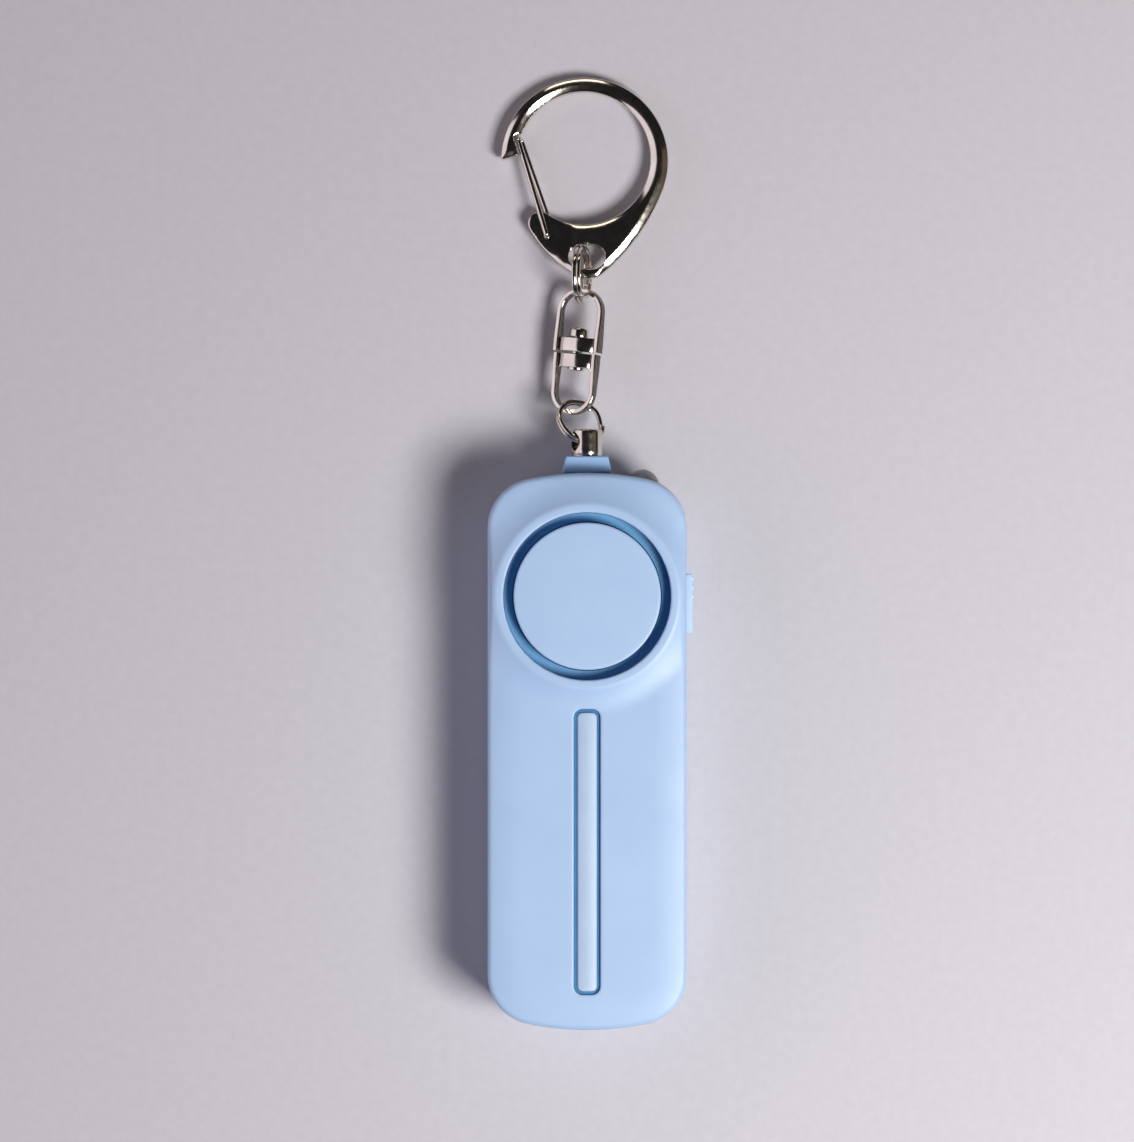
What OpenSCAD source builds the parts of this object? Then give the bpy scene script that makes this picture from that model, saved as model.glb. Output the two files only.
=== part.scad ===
// Personal safety alarm with pull-pin, swivel and key clip, lying on its back.
// +X right, +Y towards the clip, +Z up from the back face. Millimetres.

/* [Case] */
// Width of the case
body_w = 30; // [29.5:0.1:30.5]
// Length of the case at its crowned ends
body_l = 84; // [83.5:0.1:84.5]
// Thickness of the case without the siren collar
body_t = 15; // [15:0.1:15.6]
// Wall thickness of the two shells
wall = 1.6; // [1.4:0.05:1.7]
// Radius of the four corners
corner_r = 7.6; // [7:0.1:8]
// Radius of the crowned top and bottom ends
crown_r = 45; // [40:1:60]
// Width of the bevel round the front and back faces
edge_c = 1.4; // [0.8:0.1:1.5]

/* [Siren] */
// Distance of the siren's centre above the middle of the case
siren_y = 23.4; // [23:0.1:23.8]
// Radius of the round cover
cap_r = 11.1; // [10.8:0.1:11.2]
// Outer radius of the groove round the cover
groove_r = 12.6; // [12.3:0.1:12.7]
// Radius of the raised collar
collar_r = 14.3; // [14:0.1:14.4]
// Height of the collar above the front face
collar_h = 1.2; // [0.8:0.1:1.4]

/* [Light bar] */
// Length of the light bar's slot
bar_l = 43; // [42:0.5:43.5]
// Width of the light bar's slot
bar_w = 4; // [3.8:0.1:4.2]
// Gap between slot and light bar
bar_gap = 0.5; // [0.3:0.05:0.6]

/* [Pull pin and ferrule] */
// Radius of the metal pin
pin_r = 1.2; // [1.1:0.05:1.25]
// Radius of the ferrule
ferrule_r = 2.35; // [2.3:0.05:2.5]
// Radius of the ferrule's cross hole
cross_r = 1.25; // [1.2:0.05:1.3]

/* [Rings and swivel] */
// Mean radius of the lower split ring
ring1_r = 3.6; // [3.5:0.05:3.7]
// Mean radius of the upper split ring
ring2_r = 4.05; // [4:0.05:4.1]
// Radial thickness of the lower ring's wire
wire1_t = 0.7; // [0.6:0.05:0.7]
// Height of the lower ring's two coils
coil1_h = 1.2; // [1:0.05:1.2]
// Radial thickness of the upper ring's wire
wire2_t = 0.75; // [0.65:0.05:0.8]
// Height of the upper ring's two coils
coil2_h = 1.35; // [1.2:0.05:1.4]
// Outer width of the lower swivel link
link_w = 7.1; // [6.9:0.1:7.2]
// Outer width of the upper swivel link
upper_w = 7.5; // [7.3:0.1:7.6]
// Thickness of the swivel links' strip
link_t = 0.8; // [0.7:0.05:0.8]
// Depth of the swivel links' legs
link_d = 2; // [1.8:0.1:2.2]
// Depth of the swivel links' round ends
arch_d = 1.4; // [1.2:0.05:1.5]
// Roll of the swivel about its own axis, in degrees
link_roll = 23; // [20:1:26]

/* [Key clip] */
// Inner radius of the clip's ring
clip_r = 10.2; // [10:0.1:10.3]
// Thickness of the clip
clip_t = 2.5; // [2.3:0.1:2.6]
// Slope of the clip as it lies over the ring, in degrees
clip_tilt = 2.6; // [2.5:0.1:2.8]
// Radius of the gate's wire
gate_r = 0.4; // [0.35:0.01:0.42]

/* [Hidden] */
$fn = 48;
part_z = 7.5;
hw = body_w / 2;
top_y = body_l / 2;
crown_cy = top_y - crown_r;
fil_x = hw - corner_r;
fil_y = crown_cy + sqrt(pow(crown_r - corner_r, 2) - fil_x * fil_x);
fil_a = atan2(fil_y - crown_cy, fil_x);
front_in = body_t - wall;
cap_top = body_t + collar_h - 0.2;
led_x = 8.45;
knob_y = 22.25;
knob_l = 9.1;
knob_travel = 2.2;
screw_xy = [[-11.5, 11.4], [11.5, 11.4], [-9.8, 35.6]];
board_screw_xy = [[-9.6, 15.8], [9.5, 29.6]];
cell_r = 5.25;
cell_x = 5.4;
cell_z = 7.05;

// ferrule hole, and the ring that hangs in it
ferr_y = 46.85;
F = [0, ferr_y, part_z];
hole_roll = 30;
ring_drop = 32;
u1 = [cos(hole_roll), 0, -sin(hole_roll)];
e1 = [-sin(hole_roll) * sin(ring_drop), cos(ring_drop), -cos(hole_roll) * sin(ring_drop)];
n1 = cross(u1, e1);
ring1_c = F + ring1_r * e1;

// swivel axis
P0 = [-1.45, 60.5, 4.3];
sw_lean = -5.2;
sw_dip = -1.2;
low_c = -5.95;
up_c = 6.2;
gap = 0.15;

// upper ring, standing on edge and leaning a little to the left
ring2_c = [-0.75, 72.45, 4.48];
ring2_lean = 13;

// clip
clip_cx = -0.47;
clip_cy = 90.28;
clip_top = 102.7;
out_r = 12.8;
out_c = [-0.32, 89.9];
eye_c = [0, 75.1];
eye_r = 1.9;
eye_s = 0.9;
apex_c = [0.2, 75.35];
apex_r = 3.6;
lobe_a = 236;
lobe_r = 1.8;
right_r = 32;
left_r = 22;
lobe_c = [clip_cx, clip_cy] + (clip_r + lobe_r) * [cos(lobe_a), sin(lobe_a)];
gate_p = [-6.1, 78.3];
gate_tip = [-10.5, 93.15];
gate_v = gate_tip - gate_p;
gate_len = norm(gate_v);
gate_a = atan2(gate_v[1], gate_v[0]);

blue = [0.69, 0.79, 0.92];
blue_dark = [0.46, 0.58, 0.77];
nickel = [0.72, 0.69, 0.66];

// ---------- shared shapes ----------

// case outline, moved inwards by d
function arc(c, r, a0, a1, n) = [for (i = [0:n]) let (a = a0 + (a1 - a0) * i / n) c + r * [cos(a), sin(a)]];
function half_outline(d) = concat(
  arc([fil_x, fil_y], corner_r - d, 0, fil_a, 6),
  [for (i = [1:5]) let (a = fil_a + (180 - 2 * fil_a) * i / 6) [0, crown_cy] + (crown_r - d) * [cos(a), sin(a)]],
  arc([-fil_x, fil_y], corner_r - d, 180 - fil_a, 180, 6));
function outline(d) = let (h = half_outline(d)) concat(h, [for (p = h) -p]);

module slab(d, z0, z1) { translate([0, 0, z0]) linear_extrude(z1 - z0) polygon(outline(d)); }
module box(a, b) { translate(a) cube(b - a); }
module rod_y(x, z, r, y0, y1) { translate([x, y0, z]) rotate([-90, 0, 0]) cylinder(h = y1 - y0, r = r); }
module rod_z(x, y, r, z0, z1) { translate([x, y, z0]) cylinder(h = z1 - z0, r = r); }
module ring_z(x, y, ri, ro, z0, z1) {
  translate([x, y, z0]) difference() {
    cylinder(h = z1 - z0, r = ro);
    translate([0, 0, -1]) cylinder(h = z1 - z0 + 2, r = ri);
  }
}
// long shape with round corners of radius r
function stadium(w, l, r) = concat(
  arc([w / 2 - r, l / 2 - r], r, 0, 90, 5), arc([-w / 2 + r, l / 2 - r], r, 90, 180, 5),
  arc([-w / 2 + r, -l / 2 + r], r, 180, 270, 5), arc([w / 2 - r, -l / 2 + r], r, 270, 360, 5));
bar_cy = 6.4 - 43 / 2;
module bar_shape(w, l, r, z0, z1) { translate([0, bar_cy, z0]) linear_extrude(z1 - z0) polygon(stadium(w, l, r)); }
// screw with a cross slot in its head, head at z0, pointing to +Z
module screw_up(x, y, head_r, head_h, shank_r, z0, z1) {
  difference() {
    union() { rod_z(x, y, head_r, z0, z0 + head_h); rod_z(x, y, shank_r, z0, z1); }
    box([x - head_r * 0.65, y - 0.2, z0 - 1], [x + head_r * 0.65, y + 0.2, z0 + 0.45]);
    box([x - 0.2, y - head_r * 0.65, z0 - 1], [x + 0.2, y + head_r * 0.65, z0 + 0.45]);
  }
}
// openings that both shells share at their parting line
module shared_openings() {
  rod_y(0, part_z, 2.4, 36, 46);
  rod_y(led_x, part_z, 2.6, 36, 46);
  box([12, knob_y - knob_l / 2 - 0.25, part_z - 2.2], [17, knob_y + knob_l / 2 + knob_travel + 0.25, part_z + 2.2]);
}

// ---------- case ----------

module front_shell() {
  color(blue) difference() {
    union() {
      difference() {
        union() {
          hull() { slab(0, part_z, body_t - edge_c); slab(edge_c, body_t - 0.1, body_t); }
          rod_z(0, siren_y, collar_r, body_t - 2, body_t + collar_h);
        }
        slab(wall, part_z - 1, front_in);
      }
      for (p = screw_xy) rod_z(p[0], p[1], 2.1, part_z, front_in + 0.5);
    }
    rod_z(0, siren_y, groove_r, front_in - 3, body_t + 5);
    bar_shape(bar_w, bar_l, 1.3, front_in - 1, body_t + 1);
    for (p = screw_xy) rod_z(p[0], p[1], 0.95, part_z - 1, 11.5);
    shared_openings();
  }
}

module rear_shell() {
  color(blue) difference() {
    union() {
      difference() {
        hull() { slab(0, edge_c, part_z); slab(edge_c, 0, 0.1); }
        slab(wall, wall, part_z + 1);
      }
      for (p = screw_xy) rod_z(p[0], p[1], 2.1, wall - 0.4, part_z);
      for (p = board_screw_xy) rod_z(p[0], p[1], 1.8, wall - 0.4, 3.2);
      box([-9, 9.5, wall - 0.4], [9, 10.3, part_z]);
      box([-1.9, -top_y + 0.8, wall], [1.9, -37.3, 6.5]);
    }
    box([-11.2, -37, -1], [11.2, 8.7, wall]);
    box([-2.7, -40.25, -1], [2.7, -36, wall]);
    for (p = screw_xy) {
      rod_z(p[0], p[1], 1.05, -1, part_z + 1);
      rod_z(p[0], p[1], 1.95, -1, 1.2);
    }
    for (p = board_screw_xy) rod_z(p[0], p[1], 0.7, 1.8, 4);
    rod_z(0, -38.7, 0.8, 0.5, 5.5);
    shared_openings();
  }
}

module battery_door() {
  color(blue) difference() {
    union() {
      box([-11, -36.8, 0], [11, 8.5, 1.4]);
      box([-2.5, -40.1, 0], [2.5, -36, 1.4]);
      for (m = [0, 1]) mirror([m, 0, 0]) {
        box([8.8, 7, 1], [10.8, 8.5, 2.4]);
        box([8.8, 8, 1.65], [10.8, 9.1, 2.4]);
      }
    }
    rod_z(0, -38.7, 0.85, -1, 3);
    rod_z(0, -38.7, 1.32, -1, 0.9);
    for (i = [0:4]) box([-5, 1.2 + i * 1.1, -1], [5, 1.7 + i * 1.1, 0.3]);
  }
}

module battery_door_screw() { color(nickel) screw_up(0, -38.7, 1.25, 0.6, 0.8, 0.3, 5.4); }
module case_screws() { color(nickel) for (p = screw_xy) screw_up(p[0], p[1], 1.75, 0.85, 0.95, 0.35, 11.2); }

// ---------- siren ----------

module siren_cap() {
  color(blue) union() {
    rod_z(0, siren_y, cap_r, 14.4, cap_top);
    ring_z(0, siren_y, 10, cap_r, 12.6, 14.6);
  }
}
module siren_grille() {
  // its bore leaves a narrow gap round the cover, where the sound comes out
  color([0.04, 0.2, 0.33]) union() {
    ring_z(0, siren_y, cap_r + 0.15, 13.2, 12.6, front_in);
    ring_z(0, siren_y, cap_r + 0.15, groove_r - 0.05, 13, 13.6);
  }
}
module rotate_about(c, a) { translate([c[0], c[1], 0]) rotate([0, 0, a]) translate([-c[0], -c[1], 0]) children(); }
module siren_holder() {
  color([0.08, 0.08, 0.09]) difference() {
    union() {
      ring_z(0, siren_y, 10.4, 12.9, 10.4, 12.6);
      ring_z(0, siren_y, 9.6, 10.9, 10.4, 11.2);
    }
    // notches that lead the sound under the cover's skirt to that gap
    for (i = [0:15]) rotate_about([0, siren_y], i * 22.5) box([9.9, siren_y - 1.5, 11.7], [12, siren_y + 1.5, 12.7]);
  }
}
module piezo_plate() { color([0.8, 0.65, 0.3]) rod_z(0, siren_y, 10.2, 11.2, 11.45); }
module piezo_ceramic() { color([0.92, 0.9, 0.85]) rod_z(0, siren_y, 7, 10.95, 11.2); }
module piezo_leads() {
  color([0.75, 0.1, 0.1]) {
    rod_z(-1.6, 20.3, 0.35, 4.2, 10.95);
    rod_z(-8.5, siren_y, 0.35, 4.2, 11.2);
  }
}

// ---------- light bar and torch ----------

module light_bar() {
  color([0.86, 0.91, 0.96, 0.9]) difference() {
    union() {
      bar_shape(bar_w - 2 * bar_gap, bar_l - 2 * bar_gap, 0.8, front_in - 0.2, body_t);
      bar_shape(bar_w + 1.4, bar_l + 1.4, 1.5, front_in - 0.5, front_in);
    }
    bar_shape(2.2, bar_l - 3, 0.6, front_in - 1, front_in + 0.5);
  }
}
module light_bar_board() { color([0.9, 0.92, 0.9]) box([-2.2, -36.8, front_in - 1.3], [2.2, 6.8, front_in - 0.5]); }
module light_bar_leds() {
  color([0.95, 0.9, 0.6]) for (i = [0:5])
    box([-0.8, -34.6 + i * 7.2, front_in - 0.5], [0.8, -31.6 + i * 7.2, front_in + 0.2]);
}
module light_bar_leads() {
  color([0.1, 0.1, 0.1]) for (s = [-1, 1]) union() {
    rod_y(s, 11.75, 0.35, 5.4, 9.4);
    rod_z(s, 9.4 + 0.75, 0.37, 8.8, 12.05);
    rod_y(s, 11.75, 0.35, 9.3, 10.15);
    rod_y(s, 8.8, 0.35, 10.15, 15.8);
    rod_z(s, 15.8, 0.37, 4.2, 9.1);
  }
}
module torch_led() {
  color([0.85, 0.88, 0.92, 0.5]) union() {
    rod_y(led_x, part_z, 2.5, 35, 40.15);
    rod_y(led_x, part_z, 2.85, 34, 35);
    intersection() {
      translate([led_x, 40.15, part_z]) sphere(r = 2.5);
      box([led_x - 4, 40.1, part_z - 4], [led_x + 4, 44, part_z + 4]);
    }
  }
}
module torch_led_leads() {
  color(nickel) for (s = [-1.27, 1.27]) union() {
    rod_y(led_x + s, part_z, 0.3, 32, 34);
    rod_z(led_x + s, 32.2, 0.32, 4.2, 7.8);
  }
}

// ---------- circuit board ----------

module main_board() {
  color([0.1, 0.4, 0.2]) difference() {
    translate([0, 0, 3.2]) linear_extrude(1)
      polygon([[-11.2, 14], [11.2, 14], [11.2, 33.5], [9, 37.4], [-6.8, 37.4], [-6.8, 32.6], [-11.2, 32.6]]);
    for (p = board_screw_xy) rod_z(p[0], p[1], 0.9, 2, 5);
  }
}
module board_screws() {
  color(nickel) for (p = board_screw_xy) translate([p[0], p[1], 5.2]) rotate([180, 0, 0]) screw_up(0, 0, 1.5, 1, 0.7, 0, 3.3);
}
module alarm_chip() {
  color([0.1, 0.1, 0.11]) union() {
    box([-7.4, 26.5, 4.3], [-3.9, 30.7, 5.8]);
    for (i = [0:3]) box([-8.3, 26.8 + i * 1.05, 4.2], [-3, 27.2 + i * 1.05, 4.7]);
  }
}
module driver_transistor() {
  color([0.12, 0.12, 0.13]) union() {
    box([3.4, 28, 4.3], [5.8, 30.4, 5.4]);
    for (x = [3.7, 5.1]) box([x, 27.2, 4.2], [x + 0.4, 31.2, 4.5]);
  }
}
module boost_transformer() {
  color([0.25, 0.2, 0.18]) union() {
    rod_z(-6, 19.3, 3.1, 4.2, 5.2);
    rod_z(-6, 19.3, 2.5, 4.2, 9);
    rod_z(-6, 19.3, 3.1, 8.2, 9.2);
  }
}
module buffer_capacitor() { color([0.2, 0.2, 0.35]) union() { rod_z(4.6, 17.4, 2, 4.2, 9); rod_z(4.6, 17.4, 1.6, 8.9, 9.1); } }
module slide_switch_body() {
  color([0.7, 0.7, 0.72]) difference() {
    box([7.4, knob_y - 4.55, 4.2], [11.4, knob_y + 4.55, 9.2]);
    box([9.4, knob_y - 2.3, part_z - 1.2], [12, knob_y + 2.4, part_z + 1.2]);
  }
}
module light_switch_knob() {
  y0 = knob_y - knob_l / 2;
  y1 = knob_y + knob_l / 2;
  color(blue) union() {
    box([12.9, y0, part_z - 2], [hw + 1, y1, part_z + 2]);
    for (i = [0:2]) box([hw + 0.8, y1 - 1.05 - i * 1.35, part_z - 2], [hw + 1.25, y1 - 0.4 - i * 1.35, part_z + 2]);
    box([12, y0 - 0.7, part_z - 2.7], [13.1, y1 + 0.7, part_z + 2.6]);
    box([9.8, knob_y - 2, part_z - 1], [12.2, knob_y, part_z + 1]);
  }
}

// ---------- alarm switch held open by the pin ----------

module contact_block() {
  color([0.15, 0.15, 0.16]) difference() {
    box([0.3, 19.4, 4.2], [2.7, 21.8, 9.2]);
    rod_z(1.5, 20.6, 0.56, 5.9, 10);
    box([0.95, 20.6, 5.9], [2.05, 23, 10]);
  }
}
module contact_leaf() {
  color([0.8, 0.65, 0.35]) union() {
    rod_z(1.5, 20.6, 0.5, 6, 9);
    box([1.35, 20.6, 6.2], [1.65, 29, 8.8]);
  }
}
module contact_fixed() {
  color([0.8, 0.65, 0.35]) union() {
    box([-1.8, 22.6, 4.2], [-1.4, 29, 8.8]);
    box([-1.8, 23.4, 6.6], [0.8, 24.4, 8.4]);
    box([-3, 23, 4.2], [-1.4, 28, 4.5]);
  }
}

// ---------- cells ----------

module cell(x, y0, y1, up) {
  rod_y(x, cell_z, cell_r, up ? y0 : y0 + 0.8, up ? y1 - 0.8 : y1);
  rod_y(x, cell_z, 1.9, y0, y1);
}
module battery_cells() {
  color([0.25, 0.25, 0.28]) { cell(-cell_x, -35.3, 9.2, true); cell(cell_x, -38, 6.5, false); }
}
module coil_stack(x, y0, dir) {
  for (i = [0:3]) translate([x, y0 + dir * (0.35 + i * 0.55), cell_z]) rotate([90, 0, 0])
    rotate_extrude() translate([3 - i * 0.25, 0]) circle(r = 0.35);
}
module battery_springs() {
  color(nickel) {
    union() { coil_stack(-cell_x, -38, 1); rod_y(-cell_x, cell_z, 2.5, -38, -35.3); }
    union() { coil_stack(cell_x, 9.2, -1); rod_y(cell_x, cell_z, 2.5, 6.5, 9.2); }
  }
}
module battery_contacts() {
  color(nickel) {
    box([-9, -38.3, 6.8], [9, -38, 11.2]);
    box([-9, 9.2, 3], [-1.6, 9.5, 10.6]);
    box([1.6, 9.2, 3], [9, 9.5, 10.6]);
  }
}
module battery_leads() {
  color([0.6, 0.1, 0.1]) for (s = [-3, 3]) union() {
    rod_y(s, 8.2, 0.4, 9.5, 15);
    rod_z(s, 14.9, 0.42, 4.2, 8.5);
  }
}

// ---------- pull pin ----------

module pin_plug() {
  color(blue_dark) difference() {
    union() {
      translate([0, 0, part_z - 3.5]) linear_extrude(7)
        polygon([[-3.75, top_y + 0.1], [3.75, top_y + 0.1], [3.2, 44.6], [-3.2, 44.6]]);
      rod_y(0, part_z, 2.3, 39.6, top_y + 0.6);
    }
    rod_y(0, part_z, pin_r, 38, 46);
  }
}
module pin_shank() {
  color(nickel) union() {
    rod_y(0, part_z, pin_r, 27.5, 44.6);
    rod_y(0, part_z, 0.8, 44, 45.25);
    translate([0, 27.6, part_z]) rotate([90, 0, 0]) cylinder(h = 1.1, r1 = pin_r, r2 = 0.5);
  }
}
module pin_ferrule() {
  color(nickel) difference() {
    union() {
      rod_y(0, part_z, ferrule_r, 44.6, 48.6);
      translate([0, 48.6, part_z]) rotate([-90, 0, 0]) cylinder(h = 0.2, r1 = ferrule_r, r2 = ferrule_r - 0.2);
    }
    rod_y(0, part_z, 0.8, 44, 45.3);
    translate(F) rotate([0, 90 + hole_roll, 0]) {
      translate([0, 0, -5]) cylinder(h = 10, r = cross_r);
      for (s = [0, 180]) rotate([s, 0, 0]) translate([0, 0, 1.5]) cylinder(h = 1.5, r1 = cross_r, r2 = cross_r + 0.6);
    }
  }
}

// ---------- rings and swivel ----------

// two-coil ring about Z: a flat-sided band with bevelled corners
module split_ring(r, t, h) {
  a = t / 2;
  b = h / 2;
  c = 0.2;
  rotate_extrude($fn = 64) polygon([for (q = [[a - c, -b], [a, c - b], [a, b - c], [a - c, b], [c - a, b], [-a, b - c], [-a, c - b], [c - a, -b]]) [r + q[0], q[1]]]);
}
module lower_split_ring() {
  color(nickel) translate(ring1_c) rotate([0, acos(n1[2]), atan2(n1[1], n1[0])]) split_ring(ring1_r, wire1_t, coil1_h);
}
module swivel_place() { translate(P0) rotate([sw_dip, 0, sw_lean]) rotate([0, -link_roll, 0]) children(); }
// one link: half-round end at cy, legs, and an oval bar across that the rivet goes through; s = -1 points down
module link(s, w, cy, bore) {
  ro = w / 2;
  ri = ro - link_t;
  d = link_d / 2;
  e = arch_d / 2;
  c = 0.2;
  difference() {
    union() {
      translate([0, cy, 0]) rotate([0, 0, s > 0 ? 0 : 180]) rotate_extrude(angle = 180, $fn = 64)
        polygon([[ri + c, -e], [ro - c, -e], [ro, c - e], [ro, e - c], [ro - c, e], [ri + c, e], [ri, e - c], [ri, c - e]]);
      for (m = [0, 1]) mirror([m, 0, 0])
        translate([0, cy, 0]) rotate([s > 0 ? 90 : -90, 0, 0]) linear_extrude(abs(cy) - gap)
          polygon([[ri + c, -d], [ro - c, -d], [ro, c - d], [ro, d - c], [ro - c, d], [ri + c, d], [ri, d - c], [ri, c - d]]);
      translate([0, s > 0 ? gap : -2.3, 0]) rotate([-90, 0, 0]) linear_extrude(2.3 - gap)
        polygon([for (i = [0:47]) [(ri + 0.2) * cos(i * 7.5), 1.55 * sin(i * 7.5)]]);
    }
    rod_y(0, 0, bore, -4, 4);
  }
}
module swivel_lower_link() { color(nickel) swivel_place() link(-1, link_w, low_c, 0.9); }
module swivel_upper_link() { color(nickel) swivel_place() link(1, upper_w, up_c, 0.96); }
module swivel_rivet() {
  color(nickel) swivel_place() union() {
    rod_y(0, 0, 0.9, -2.5, 3);
    rod_y(0, 0, 1.5, 2.4, 3.7);
    rod_y(0, 0, 1.2, 3.6, 3.95);
    rod_y(0, 0, 1.3, -2.8, -2.3);
  }
}
module upper_split_ring() { color(nickel) translate(ring2_c) rotate([0, 90 - ring2_lean, 0]) split_ring(ring2_r, wire2_t, coil2_h); }

// ---------- key clip ----------

module clip_place() { translate([0, clip_top, 0]) rotate([-clip_tilt, 0, 0]) translate([0, -clip_top, clip_t / 2]) children(); }
// centre of the wide arc of radius r that runs on the right-hand side from circle a to circle b and touches both
function wide(a, ra, b, rb, r) = let (v = b - a, d = norm(v), x = (d * d + pow(r - ra, 2) - pow(r - rb, 2)) / (2 * d), h = sqrt(pow(r - ra, 2) - x * x))
  a + (x * v + h * [-v[1], v[0]]) / d;
function bearing(v) = atan2(v[1], v[0]);
right_c = wide(apex_c, apex_r, out_c, out_r, right_r);
left_c = wide(lobe_c, lobe_r, apex_c, apex_r, left_r);
right_lo = bearing(apex_c - right_c);
right_hi = bearing(out_c - right_c);
left_hi = bearing(lobe_c - left_c);
left_lo = bearing(apex_c - left_c);
function clip_outline() = concat(
  arc(apex_c, apex_r, left_lo, right_lo, 8),
  [for (i = [1:7]) let (a = right_lo + (right_hi - right_lo) * i / 8) right_c + right_r * [cos(a), sin(a)]],
  arc(out_c, out_r, right_hi, 180 - 0.5, 30),
  arc([clip_cx, clip_cy], clip_r, 180 - 2, lobe_a - 360, 44),
  [for (i = [1:8]) let (a = lobe_a - 180 + (540 + left_hi - lobe_a) * i / 8) lobe_c + lobe_r * [cos(a), sin(a)]],
  [for (i = [1:5]) let (a = left_hi + (left_lo - left_hi) * i / 6) left_c + left_r * [cos(a), sin(a)]]);
module clip_frame() {
  color(nickel) clip_place() difference() {
    translate([0, 0, -clip_t / 2]) linear_extrude(clip_t) polygon(clip_outline());
    translate([eye_c[0], eye_c[1], -clip_t]) linear_extrude(2 * clip_t) polygon(stadium(2 * (eye_r + eye_s), 2 * eye_r, eye_r - 0.01));
    // seats for the gate's legs on both faces
    for (m = [0, 1]) mirror([0, 0, m]) translate([gate_p[0], gate_p[1], 0.5]) rotate([0, 0, gate_a - 12.5])
      translate([-1.1, -2.2, 0]) cube([8, 3.9, 3]);
    // notch that takes the gate's tip, over a lip that stops the gate
    translate([gate_p[0], gate_p[1], -clip_t]) rotate([0, 0, gate_a]) {
      translate([gate_len - 2.1, -3.5, 0]) cube([2.8, 4.14, 2 * clip_t]);
      translate([gate_len - 6, -3.5, 0]) cube([5, 4.02, 2 * clip_t]);
    }
    rod_z(gate_p[0], gate_p[1], 0.47, -3, 3);
  }
}
// straight piece of wire from a to b
module wire(a, b, r) {
  v = b - a;
  translate(a) rotate([0, acos(v[2] / norm(v)), atan2(v[1], v[0])]) cylinder(h = norm(v), r = r);
}
module clip_gate() {
  zr = 1.25;
  zt = 0.42;
  r = gate_r - 0.02;
  // the rear leg bows inwards, so it lies beside the front one
  bow = [3.2, -1.05, -zr + 0.2];
  color(nickel) clip_place() translate([gate_p[0], gate_p[1], 0]) rotate([0, 0, gate_a]) union() {
    rod_z(0, 0, 0.42, -zr - 0.2, zr + 0.2);
    wire([0, 0, zr], [gate_len, 0, zt], r);
    wire([0, 0, -zr], bow * 1.05 + [0, 0, 0.05 * zr], r + 0.02);
    wire(bow - [0.2, 0, 0.01], [gate_len, -0.42, -zt], r);
    rod_z(gate_len, 0, 0.45, -0.7, 0.7);
  }
}

front_shell();
rear_shell();
battery_door();
battery_door_screw();
case_screws();
siren_cap();
siren_grille();
siren_holder();
piezo_plate();
piezo_ceramic();
piezo_leads();
light_bar();
light_bar_board();
light_bar_leds();
light_bar_leads();
torch_led();
torch_led_leads();
main_board();
board_screws();
alarm_chip();
driver_transistor();
boost_transformer();
buffer_capacitor();
slide_switch_body();
light_switch_knob();
contact_block();
contact_fixed();
contact_leaf();
battery_cells();
battery_springs();
battery_contacts();
battery_leads();
pin_plug();
pin_shank();
pin_ferrule();
lower_split_ring();
swivel_lower_link();
swivel_rivet();
swivel_upper_link();
upper_split_ring();
clip_frame();
clip_gate();
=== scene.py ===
import math

import bmesh
import bpy
from mathutils import Matrix, Vector
from mathutils.geometry import delaunay_2d_cdt


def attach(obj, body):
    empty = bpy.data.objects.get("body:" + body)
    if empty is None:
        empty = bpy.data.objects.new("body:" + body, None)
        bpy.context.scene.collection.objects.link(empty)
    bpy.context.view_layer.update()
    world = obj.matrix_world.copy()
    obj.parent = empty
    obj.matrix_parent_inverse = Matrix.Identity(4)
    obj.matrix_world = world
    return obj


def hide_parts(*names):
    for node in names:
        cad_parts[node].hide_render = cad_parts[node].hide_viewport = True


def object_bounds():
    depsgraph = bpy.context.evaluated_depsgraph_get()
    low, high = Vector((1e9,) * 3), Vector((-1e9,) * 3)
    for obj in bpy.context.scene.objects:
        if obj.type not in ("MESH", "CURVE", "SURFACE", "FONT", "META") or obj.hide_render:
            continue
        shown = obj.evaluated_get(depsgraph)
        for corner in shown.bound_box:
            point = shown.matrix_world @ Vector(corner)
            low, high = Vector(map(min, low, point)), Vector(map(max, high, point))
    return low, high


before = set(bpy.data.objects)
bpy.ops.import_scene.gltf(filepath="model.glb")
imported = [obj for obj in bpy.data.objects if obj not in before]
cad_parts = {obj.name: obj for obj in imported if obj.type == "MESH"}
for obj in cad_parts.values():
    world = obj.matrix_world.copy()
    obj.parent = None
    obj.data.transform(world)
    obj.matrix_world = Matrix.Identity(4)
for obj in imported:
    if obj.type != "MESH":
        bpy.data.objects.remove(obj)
CAD_LO, CAD_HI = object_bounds()
MM = 0.001
TAU = 2 * math.pi
rad = math.radians

# ---------------------------------------------------------------- mesh kit
# Points are in millimetres in the part's frame: X right, Y to the clip, Z up.


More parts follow.
